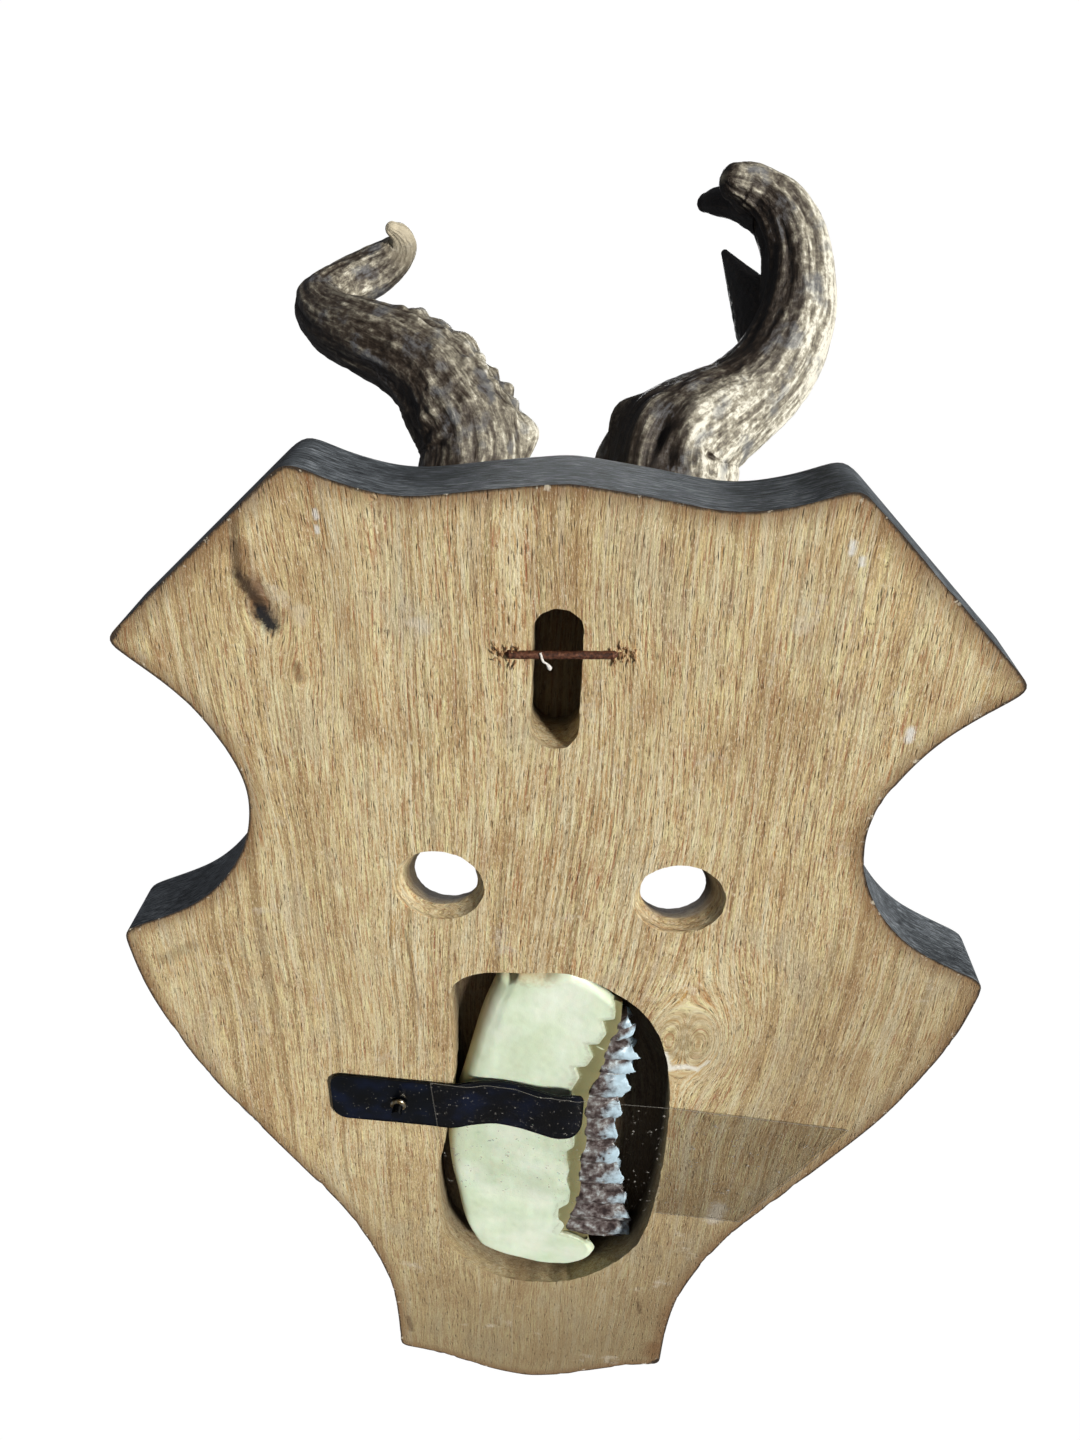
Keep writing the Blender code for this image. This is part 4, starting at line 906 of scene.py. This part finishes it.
clip_curve = through([(x, y, 0.0) for x, y in CLIP_PROFILE], 0.35)
clip_slopes = np.gradient(clip_curve[:, :2], axis=0)
clip_rings = []
for (x, y, _), (step_x, step_y) in zip(clip_curve, clip_slopes):
    from_end = min(abs(x - clip_curve[0, 0]), abs(x - clip_curve[-1, 0]))
    short = max(0.0, CLIP_CORNER_R - from_end)
    half = CLIP_WIDE / 2 - CLIP_CORNER_R + math.sqrt(CLIP_CORNER_R**2 - short**2)
    lift = Vector((-step_y, 0.0, step_x)).normalized()
    normal = Vector((lift.x, lift.z, 0.0)) * (-1 if lift.z < 0 else 1)
    section = []
    for over, out in ((-1, 1), (1, 1), (1, -1), (-1, -1)):
        turns = np.linspace(0, math.pi / 2, 4)
        for turn in turns if over * out < 0 else turns[::-1]:
            reach = half - CLIP_EDGE_R + CLIP_EDGE_R * math.sin(turn)
            depth = CLIP_THICK / 2 - CLIP_EDGE_R + CLIP_EDGE_R * math.cos(turn)
            section.append((over * reach, out * depth))
    line = []
    for first, second in zip(section, section[1:] + section[:1]):
        line.append(first)
        if abs(first[0] - second[0]) > 2:
            line.extend([(first[0] + (second[0] - first[0]) * s, first[1]) for s in np.linspace(0.06, 0.94, 12)])
    ring = []
    for over, out in line:
        across = over / (CLIP_WIDE / 2)
        dent = 0.05 * noise.noise(Vector((x * 0.22, over * 0.25, 3.0)))
        centre = Vector((x, y, clip_z(x) + over))
        ring.append(centre + normal * (out + dent - 0.04 * across**2))
    clip_rings.append(ring)
clip = skin("jaw_clip_finished", clip_rings)
bpy.ops.mesh.primitive_cylinder_add(vertices=32, radius=0.95 * MM, depth=6 * MM, rotation=(math.pi / 2, 0, 0),
                                    location=(NAIL_X * MM, 0.6 * MM, clip_z(NAIL_X) * MM))
combine(clip, bpy.context.object)
blued, tree, shader = new_material("blued spring steel", 0.3, Coat_Weight=0.1, Coat_Roughness=0.2,
                                   Specular_IOR_Level=0.35)
in_mm = object_mm(tree)
long_marks = add(tree, "TexNoise", {"Vector": add(tree, "Mapping", {"Vector": in_mm, "Scale": (0.08, 1.0, 2.4)}),
                                    "Scale": 1.0, "Detail": 4.0})
haze = add(tree, "TexNoise", {"Vector": in_mm, "Scale": 0.18, "Detail": 2.0})
dust = add(tree, "TexNoise", {"Vector": in_mm, "Scale": 2.2, "Detail": 2.0})
blue_tone = add(tree, "ValToRGB", {"Fac": haze}, stops=((0.35, "#010204"), (0.5, "#03060F"), (0.66, "#081126")))
tree.links.new(tinted(tree, blue_tone, "#B9B4A8", dust, 0.70, 0.76, 0.6), shader.inputs["Base Color"])
add(tree, "MapRange", {"Value": long_marks, "To Min": 0.2, "To Max": 0.42}, to=shader.inputs["Roughness"])
add(tree, "Bump", {"Strength": 0.15, "Distance": 0.03 * MM, "Height": long_marks}, to=shader.inputs["Normal"])
clip.data.materials.append(blued)
clip.data.set_sharp_from_angle(angle=math.radians(40))
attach(clip, "root")
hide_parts("jaw_clip")

nail_seat = 0.6 + CLIP_THICK / 2 + 0.3
nail_profile = [(-7.4, 0.05), (-6.0, NAIL_R), (nail_seat, NAIL_R), (nail_seat, 1.42), (nail_seat + 0.1, 1.5),
                (nail_seat + 0.28, NAIL_HEAD_R)]
for angle in np.linspace(0.15, math.pi / 2, 7):
    nail_profile.append((nail_seat + 0.28 + 0.42 * math.sin(angle), NAIL_HEAD_R * math.cos(angle) + 0.02))
nail_rings = []
for y, radius in nail_profile:
    ring = []
    for angle in np.linspace(0, 2 * math.pi, 40, endpoint=False):
        reach = radius * (1 + 0.03 * noise.noise(Vector((math.cos(angle) * 1.5, math.sin(angle) * 1.5, 2.0))))
        ring.append((NAIL_X + reach * math.cos(angle), y, clip_z(NAIL_X) + reach * math.sin(angle)))
    nail_rings.append(ring)
nail = skin("clip_nail_finished", nail_rings)
nail_steel, tree, shader = new_material("bright nail steel", 0.3, Metallic=1.0)
in_mm = object_mm(tree)
tarnish = add(tree, "TexNoise", {"Vector": in_mm, "Scale": 1.3, "Detail": 4.0})
add(tree, "ValToRGB", {"Fac": tarnish}, to=shader.inputs["Base Color"], stops=(
    (0.38, "#8A7048"), (0.5, "#C9B489"), (0.64, "#EFE8D6")))
add(tree, "MapRange", {"Value": tarnish, "To Min": 0.5, "To Max": 0.15}, to=shader.inputs["Roughness"])
nail.data.materials.append(nail_steel)
nail.data.set_sharp_from_angle(angle=math.radians(40))
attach(nail, "root")
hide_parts("clip_nail")


# Clear film: a piece of clear sticky film over the clip, the pocket and the wood beside it. It shows
# by its pale cut edges and its dust, and where its glue holds it down the wood looks wet and dark.
FILM_CORNERS = ((20.6, -91.0), (-57.5, -98.0), (-41.5, -130.6), (18.0, -126.0))
FILM_GAP = 0.34
FILM_THICK = 0.06
STUCK_PAST_X = -24.3
JAW_BARE_BELOW_Z = -110


def clip_y(x):
    """The Y in mm of the strip's middle line."""
    ordered = clip_curve[::-1]
    return float(np.interp(x, ordered[:, 0], ordered[:, 1]))


def film_height(x, z):
    """Height of the film's under side: close over the wood, lifted over the clip, falling beside it."""
    free_end = CLIP_PROFILE[-1][0]
    if x > free_end:
        lift = max(0.0, max(clip_y(x + step) for step in (-3.0, 0.0, 3.0)) + CLIP_THICK / 2)
    else:
        lift = 0.8 * max(0.0, 1.0 - (free_end - x) / 16.0)
    beside = abs(z - clip_z(x)) - CLIP_WIDE / 2 - 0.3
    return FILM_GAP + lift * min(1.0, max(0.0, 1.0 - beside / 9.0))


top_left, top_right, low_right, low_left = np.array(FILM_CORNERS)
film_rings = []
for share in np.linspace(0.0, 1.0, 130):
    start = top_left * (1 - share) + top_right * share
    end = low_left * (1 - share) + low_right * share
    under = []
    for down in np.linspace(0.0, 1.0, 60):
        x, z = start * (1 - down) + end * down
        under.append((x, film_height(x, z), z))
    film_rings.append(under + [(x, y + FILM_THICK, z) for x, y, z in under[::-1]])
film = skin("clear_film_finished", film_rings)
film_points = points_of(film)
from_edge = np.full(len(film_points), 4.0)
for start, end in zip(np.array(FILM_CORNERS), np.roll(FILM_CORNERS, -1, axis=0)):
    step = end - start
    away = film_points[:, [0, 2]] - start
    share = np.clip(away @ step / (step @ step), 0.0, 1.0)
    from_edge = np.minimum(from_edge, np.linalg.norm(away - share[:, None] * step, axis=1))
stuck_down = film_points[:, 0] < STUCK_PAST_X
from_edge[~stuck_down & (film_points[:, 2] <= JAW_BARE_BELOW_Z)] = 4.0
paint(film, "edge_mm", from_edge)
paint(film, "stuck", stuck_down)
clear, tree, shader = new_material("clear sticky film", 0.22, Specular_IOR_Level=0.25)
in_mm = object_mm(tree)
edge_mm = add(tree, "Attribute", out=2, attribute_name="edge_mm")
dust = add(tree, "TexNoise", {"Vector": in_mm, "Scale": 1.1, "Detail": 5.0, "Roughness": 0.65})
dust_share = add(tree, "MapRange", {"Value": dust, "From Min": 0.63, "From Max": 0.70, "To Max": 0.6})
edge_share = add(tree, "MapRange", {"Value": edge_mm, "From Min": 0.22, "From Max": 0.02, "To Max": 0.4})
haze = add(tree, "TexNoise", {"Vector": in_mm, "Scale": 0.1, "Detail": 2.0})
stuck = add(tree, "Attribute", out=2, attribute_name="stuck")
alpha = add(tree, "MapRange", {"Value": haze, "To Min": 0.07, "To Max": 0.15})
alpha = add(tree, "Math", {0: alpha, 1: stuck, 2: 0.02}, operation="MULTIPLY_ADD")
pale_share = add(tree, "Math", {0: dust_share, 1: edge_share}, operation="ADD", use_clamp=True)
add(tree, "Mix", {0: pale_share, 6: hex_colour("#3A2F20"), 7: hex_colour("#E9E6DD")}, out=2, data_type="RGBA",
    to=shader.inputs["Base Color"])
add(tree, "Math", {0: alpha, 1: pale_share}, operation="ADD", use_clamp=True, to=shader.inputs["Alpha"])
film.data.materials.append(clear)
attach(film, "root")
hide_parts("clear_film")


# Skull cap: the buck's frontal bone, sawn off behind the eye sockets and boiled white, with the two
# stumps that the antlers grow on. It sits on the front of the shield.
SAW_CUT_Y = -12.2
VOXEL = 0.62
SUTURE_HALF = 0.45
BROW_SUTURE_Z = -43.0
only(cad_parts["skull_cap"])
bpy.ops.object.duplicate()
skull = bpy.context.object
skull.name = "skull_cap_finished"
by_ops(
    skull,
    (bpy.ops.mesh.remove_doubles, {"threshold": 1e-6}),
    (bpy.ops.mesh.normals_make_consistent, {"inside": False}),
)
remesh = skull.modifiers.new("even skin", "REMESH")
remesh.mode = "VOXEL"
remesh.voxel_size = VOXEL * MM
soften = skull.modifiers.new("soften", "SMOOTH")
soften.factor = 0.5
soften.iterations = 10
for modifier in ("even skin", "soften"):
    bpy.ops.object.modifier_apply(modifier=modifier)
# Two sutures run over it as zigzag grooves, one down its middle and one across the brow.
seams = []
bone_points = points_of(skull)
outward = np.empty(bone_points.size)
skull.data.vertices.foreach_get("normal", outward)
for spot, normal in zip(bone_points, outward.reshape(-1, 3)):
    place = Vector(spot)
    zigzag = 1.1 * noise.noise(Vector((1.0, 2.0, place.z * 0.9)))
    zigzag += 0.5 * noise.noise(Vector((4.0, 2.0, place.z * 2.6)))
    brow = 1.1 * noise.noise(Vector((place.x * 0.8, 2.0, 5.0))) + BROW_SUTURE_Z
    seam = 0.0
    if place.y < -28:
        seam = max(seam, 1.0 - abs(place.x - zigzag) / SUTURE_HALF)
    if place.y < -20 and abs(place.x) < 20:
        seam = max(seam, 1.0 - abs(place.z - brow) / SUTURE_HALF)
    seams.append(seam)
    rough = 0.22 * noise.noise(place * 0.22) + 0.07 * noise.noise(place * 0.9)
    near_cut = min(1.0, max(0.0, (SAW_CUT_Y - 0.4 - place.y) / 1.5))
    spot += normal * (rough - 0.14 * seam) * near_cut
    spot[1] = min(spot[1], SAW_CUT_Y)
skull.data.vertices.foreach_set("co", (bone_points * MM).ravel())
skull.data.update()
paint(skull, "seam", seams)
skull.data.materials.clear()
skull_bone, tree, shader = new_material("bleached skull bone", 0.6, Subsurface_Weight=0.08, Subsurface_Scale=0.001)
in_mm = object_mm(tree)
clouds = add(tree, "TexNoise", {"Vector": in_mm, "Scale": 0.09, "Detail": 4.0})
pits = add(tree, "TexNoise", {"Vector": in_mm, "Scale": 1.4, "Detail": 5.0, "Roughness": 0.65})
skull_tone = add(tree, "ValToRGB", {"Fac": clouds}, stops=((0.34, "#BBA77F"), (0.47, "#D9CBAA"), (0.66, "#EADFC5")))
skull_tone = tinted(tree, skull_tone, "#8C7048", pits, 0.46, 0.36, 0.5)
seam = add(tree, "Attribute", out=2, attribute_name="seam")
tree.links.new(tinted(tree, skull_tone, "#6E5330", seam, 0.0, 1.0, 0.75), shader.inputs["Base Color"])
add(tree, "Bump", {"Strength": 0.5, "Distance": 0.2 * MM, "Height": pits}, to=shader.inputs["Normal"])
skull.data.materials.append(skull_bone)
skull.data.shade_smooth()
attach(skull, "root")
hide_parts("skull_cap")

# Skull screw: a brass wood screw with a domed, slotted head, driven through the bone into the oak.
SCREW_Z = -22.0
SCREW_R = 1.7
SCREW_HEAD_R = 3.4
SCREW_HEAD_TALL = 2.05
SCREW_SEAT = -34.8
head_y = SCREW_SEAT - 0.15
screw_profile = [(-5.8, 0.1), (-9.0, SCREW_R), (SCREW_SEAT, SCREW_R), (SCREW_SEAT, 3.3), (head_y, SCREW_HEAD_R)]
for angle in np.linspace(0.12, math.pi / 2, 10):
    screw_profile.append((head_y - SCREW_HEAD_TALL * math.sin(angle), SCREW_HEAD_R * math.cos(angle) + 0.02))
screw_rings = []
for y, radius in screw_profile:
    screw_rings.append([(radius * math.cos(a), y, SCREW_Z + radius * math.sin(a))
                        for a in np.linspace(0, 2 * math.pi, 48, endpoint=False)])
screw = skin("skull_screw_finished", screw_rings)
bpy.ops.mesh.primitive_cube_add(size=1.0, location=(0, -36.9 * MM, SCREW_Z * MM),
                                scale=(9 * MM, 2 * MM, 0.9 * MM))
combine(screw, bpy.context.object)
brass, tree, shader = new_material("dull brass", 0.36, Metallic=1.0)
in_mm = object_mm(tree)
tarnish = add(tree, "TexNoise", {"Vector": in_mm, "Scale": 0.9, "Detail": 5.0})
add(tree, "ValToRGB", {"Fac": tarnish}, to=shader.inputs["Base Color"], stops=(
    (0.36, "#6B5124"), (0.5, "#A98545"), (0.64, "#D2B069")))
add(tree, "MapRange", {"Value": tarnish, "To Min": 0.55, "To Max": 0.25}, to=shader.inputs["Roughness"])
screw.data.materials.append(brass)
screw.data.set_sharp_from_angle(angle=math.radians(35))
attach(screw, "root")
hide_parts("skull_screw")


# Antlers: grown bone, rubbed brown by bark, with pearls and long channels low down and polished pale
# ridges and tips. Each grows from its stump behind a knobby ring. A route's rows are X, Y, Z and radius.
RING_STEP = 0.34
KNOBS = 17
LEFT_BEAM = (
    (17.5, -44.5, 1.5, 9.5), (17.3, -48.0, 6.5, 9.3), (17.2, -50.2, 10.4, 9.1), (18.4, -52.0, 13.5, 9.2),
    (21.3, -54.0, 17.2, 8.6), (25.0, -56.5, 21.1, 7.7), (30.6, -59.5, 23.8, 6.9), (37.4, -63.0, 25.4, 6.3),
    (43.9, -67.5, 26.6, 5.5), (47.5, -73.0, 28.7, 4.7), (44.8, -79.0, 30.8, 4.3), (39.9, -82.2, 33.0, 4.1),
    (35.9, -83.0, 35.5, 3.4), (34.0, -82.2, 37.8, 2.6), (34.2, -81.0, 39.6, 2.0), (35.3, -80.3, 40.5, 1.3),
)
RIGHT_BEAM = (
    (-17.8, -44.5, 1.5, 9.5), (-16.9, -48.0, 7.0, 10.8), (-17.0, -50.3, 12.0, 10.5), (-21.1, -53.0, 15.4, 9.4),
    (-26.8, -56.8, 18.4, 8.0), (-31.6, -60.2, 22.3, 7.4), (-34.7, -63.8, 27.0, 7.0), (-36.1, -67.0, 32.1, 6.5),
    (-36.1, -70.0, 37.2, 5.9), (-35.1, -72.8, 41.7, 5.5), (-32.5, -75.0, 46.0, 4.9), (-29.2, -76.0, 48.6, 4.1),
    (-26.2, -75.5, 50.0, 3.6), (-24.5, -74.8, 50.5, 2.9),
)
RIGHT_SECOND_POINT = (
    (-30.6, -76.0, 45.6, 3.6), (-26.2, -80.6, 46.7, 2.9), (-22.6, -83.8, 46.5, 2.3), (-20.8, -85.4, 46.1, 1.6),
)
RIGHT_TINE = (
    (-34.4, -64.5, 25.6, 6.4), (-31.6, -69.4, 29.7, 5.3), (-29.1, -74.4, 33.0, 3.7), (-26.9, -79.2, 35.8, 2.1),
    (-25.0, -83.6, 38.2, 0.7),
)


def rounded_tip(route):
    """The route with a half dome of shrinking rings added past its last point."""
    heading = route[-1, :3] - route[-2, :3]
    heading = heading / np.linalg.norm(heading)
    radius = route[-1, 3]
    extra = [[*(route[-1, :3] + heading * radius * math.sin(a)), max(0.03, radius * math.cos(a))]
             for a in np.linspace(0.2, math.pi / 2, 7)]
    return np.vstack([route, extra])


antler, tree, shader = new_material("antler, bark-stained and rubbed", 0.5)
in_mm = object_mm(tree)
relief = add(tree, "Attribute", out=2, attribute_name="relief")
tip_share = add(tree, "Attribute", out=2, attribute_name="tip")
lit_side_pale = add(tree, "Attribute", out=2, attribute_name="lit_side_pale")
grown = add(tree, "Attribute", out=1, attribute_name="grown_mm")
clouds = add(tree, "TexNoise", {"Vector": in_mm, "Scale": 0.22, "Detail": 3.0})
grain = add(tree, "TexNoise", {"Vector": in_mm, "Scale": 1.1, "Detail": 6.0, "Roughness": 0.7})
channels = add(tree, "TexNoise", {"Vector": add(tree, "Mapping", {"Vector": grown, "Scale": (1.5, 1.5, 0.3)}),
                                  "Scale": 1.0, "Detail": 5.0, "Roughness": 0.65, "Distortion": 0.4})
# Pale where the surface stands out and where the grain is open, and painted light: paler on the side that faces
# the key light, with a set amount for each piece.
level = add(tree, "Math", {0: relief, 1: 0.62, 2: -0.62}, operation="MULTIPLY_ADD")
for pattern, weight in ((grain, 0.75), (channels, 0.75), (lit_side_pale, 0.42)):
    level = add(tree, "Math", {0: pattern, 1: weight, 2: level}, operation="MULTIPLY_ADD")
antler_tone = add(tree, "ValToRGB", {"Fac": level}, stops=(
    (0.18, "#110A06"), (0.36, "#2E2318"), (0.50, "#4C4238"), (0.63, "#787163"), (0.76, "#B0A996"), (0.90, "#FAF6E6")))
blue_share = add(tree, "MapRange", {"Value": clouds, "From Min": 0.54, "From Max": 0.66, "To Max": 0.6})
lit_share = add(tree, "MapRange", {"Value": level, "From Min": 0.40, "From Max": 0.56})
blue_share = add(tree, "Math", {0: blue_share, 1: lit_share}, operation="MULTIPLY")
antler_tone = tinted(tree, antler_tone, "#6B7079", blue_share, 0.0, 1.0)
tree.links.new(tinted(tree, antler_tone, "#DCD0B4", tip_share, 0.0, 1.0), shader.inputs["Base Color"])
add(tree, "MapRange", {"Value": grain, "To Min": 0.36, "To Max": 0.6}, to=shader.inputs["Roughness"])
height = add(tree, "Math", {0: channels, 1: 1.6, 2: grain}, operation="MULTIPLY_ADD")
add(tree, "Bump", {"Strength": 0.8, "Distance": 0.3 * MM, "Height": height}, to=shader.inputs["Normal"])


def paint_growth(piece, points, grown):
    """Gives each vertex the relief, tip and place on the beam of the nearest point that grew, and a painted paleness on
    the side that faces the key light.
    """
    nearest = kdtree.KDTree(len(points))
    for index, point in enumerate(points):
        nearest.insert(point, index)
    nearest.balance()
    reliefs, tips, sides, places = zip(*[grown[nearest.find(point)[1]] for point in points_of(piece)])
    paint(piece, "relief", reliefs)
    paint(piece, "tip", tips)
    normals = np.array([vertex.normal for vertex in piece.data.vertices])
    sides = np.array(sides)
    # Painted light: each side is paler by how far it faces the key light.
    paint(piece, "lit_side_pale", np.clip(sides[:, 3] + (normals * sides[:, :3]).sum(axis=1), -0.5, 1.0))
    attributes = piece.data.attributes
    kept = attributes.get("grown_mm") or attributes.new("grown_mm", "FLOAT_VECTOR", "POINT")
    kept.data.foreach_set("vector", np.array(places).ravel())


def make_antler(name, beam, sides, seed, pale, pearls=(), tip_long=0.1, channels=1.0):
    """A beam with channels and, with pearls of (mm along, angle, radius, height), a ring of knobs at its
    root. pale is painted light: it makes each side paler by how far it faces along X, Y and Z, towards the
    key light, and adds the last value. Gives the piece, its points, and what grew at them."""
    route = rounded_tip(through(beam, RING_STEP))
    lengths = np.concatenate([[0.0], np.cumsum(np.linalg.norm(np.diff(route[:, :3], axis=0), axis=1))])
    total = float(lengths[-1])
    draw = random.Random(seed)
    bumps = list(pearls)
    for k in range(KNOBS if pearls else 0):
        along, angle = draw.uniform(0.9, 2.6), k * 2 * math.pi / KNOBS + draw.uniform(-0.1, 0.1)
        bumps.append((along, angle, draw.uniform(1.3, 1.9), draw.uniform(1.1, 2.0)))
    reliefs = []

    def swell(along, angle, radius):
        c, s = math.cos(angle), math.sin(angle)
        fade = min(1.0, radius / 5.0)
        root = max(0.0, 1.0 - along / (0.45 * total))
        ridge = noise.noise(Vector((c * 1.9, s * 1.9, along / 26 + seed)))
        groove = noise.noise(Vector((c * 4.6, s * 4.6, along / 14 + seed)))
        line = noise.noise(Vector((c * 11, s * 11, along / 7 + seed)))
        pit = noise.noise(Vector((c * 1.6 * radius, s * 1.6 * radius, along * 0.7 + seed)))
        shape = 0.55 * ridge + 0.42 * groove * channels + 0.16 * line * channels + (0.10 + 0.22 * root) * pit
        top = sunk = 0.0
        for at, where, wide, high in bumps:
            off = (angle - where + math.pi) % (2 * math.pi) - math.pi
            square = ((along - at) ** 2 + (off * radius) ** 2) / wide**2
            if square < 6:
                lift = high * math.exp(-square * 1.5)
                top = max(top, lift)
                sunk = min(sunk, lift)
        top += sunk
        burr = 1.3 * math.exp(-(((along - 1.6) / 1.5) ** 2)) if pearls else 0.0
        reliefs.append(0.42 + 0.55 * (0.5 * groove + 0.35 * line + 0.3 * pit) + 0.22 * top)
        return (shape * fade + top + burr) if along > 0.2 else shape * 0.3

    rings = rings_round(route, sides, swell, (1.0, 0.0, 0.0))
    piece = skin(name, rings)
    grown = []
    for radius, along in zip(route[:, 3], lengths):
        tip = min(0.9, max(0.0, (along - total + tip_long) / tip_long))
        for turn in np.arange(sides) * 2 * math.pi / sides:
            place = (radius * math.cos(turn), radius * math.sin(turn), along)
            grown.append((reliefs[len(grown)], tip, pale, place))
    points = [point for ring in rings for point in ring]
    paint_growth(piece, points, grown)
    piece.data.materials.append(antler)
    return piece, points, grown


def scattered(seed, count, first, last, high, low_angle=0.0, high_angle=2 * math.pi):
    """Small pearls at random places from first to last mm along a beam, most of them near first."""
    draw = random.Random(seed)
    found = []
    for _ in range(count):
        at = first + (last - first) * draw.random() ** 1.3
        found.append((at, draw.uniform(low_angle, high_angle), draw.uniform(0.9, 1.8), draw.uniform(0.35, 1.0) * high))
    return found


LEFT_PEARLS = (
    (32.3, 2.80, 1.6, 1.4), (29.0, 2.97, 2.4, 1.1), (25.2, 3.00, 2.4, 1.7), (22.6, 2.90, 1.3, 1.1),
    (20.0, 3.10, 2.0, 1.2), (16.6, 3.05, 1.5, 1.6), (14.6, 2.90, 1.2, 1.2), (11.6, 3.0, 2.1, 2.8),
    (13.5, 0.9, 2.0, 0.6), (22.1, 2.30, 1.3, 1.0), (16.7, 1.78, 1.2, 0.9), (18.7, 0.84, 1.4, 1.2),
    (25.5, 1.99, 1.1, 0.7), (20.7, 1.78, 1.0, 0.6), (15.3, 2.30, 1.2, 0.7), (13.5, 2.6, 1.4, 0.8),
    (27.0, 2.5, 1.2, 0.7), (24.0, 2.6, 1.3, 0.8), (20.0, 2.55, 1.3, 0.8), (17.5, 2.6, 1.1, 0.7),
    (30.5, 2.3, 1.1, 0.5), *scattered(3, 34, 4, 36, 0.9, 1.1, 4.6),
)
antler_left, _, _ = make_antler("antler_left_finished", LEFT_BEAM, 112, 3, (-0.35, 0.1, 0.15, 0.24), LEFT_PEARLS, 9.0)
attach(antler_left, "root")
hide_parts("antler_left")

# A height below 0 makes a hollow.
RIGHT_PEARLS = (
    (12.6, 0.05, 1.6, 2.0), (10.0, 6.15, 2.6, 2.6), (11.9, 1.15, 1.8, -1.4), (10.2, 1.40, 1.6, -1.2),
    (11.5, 2.05, 0.9, -1.2), (13.2, 1.57, 1.8, 1.0), (16.0, 1.36, 2.0, 1.1), (13.2, 0.73, 1.6, 0.7),
    (10.0, 1.85, 1.7, 1.1), (8.5, 0.5, 1.6, 1.2), (17.7, 0.91, 1.6, 0.5), *scattered(5, 22, 4, 20, 0.7),
)
antler_right, points, grown = make_antler("antler_right_finished", RIGHT_BEAM, 112, 5, (-0.95, 0.1, 0.0, 0.40),
                                          RIGHT_PEARLS)
second_point, more_points, more_grown = make_antler("second_point", RIGHT_SECOND_POINT, 72, 8, (0.0, 0.0, 0.0, -0.5),
                                                    channels=0.15)
combine(antler_right, second_point, "UNION")
antler_right.data.shade_smooth()
paint_growth(antler_right, points + more_points, grown + more_grown)
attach(antler_right, "root")
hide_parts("antler_right")

tine, _, _ = make_antler("antler_right_tine_finished", RIGHT_TINE, 80, 9, (-0.2, 0.0, 0.1, -0.3), channels=0.2)
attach(tine, "root")
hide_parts("antler_right_tine")
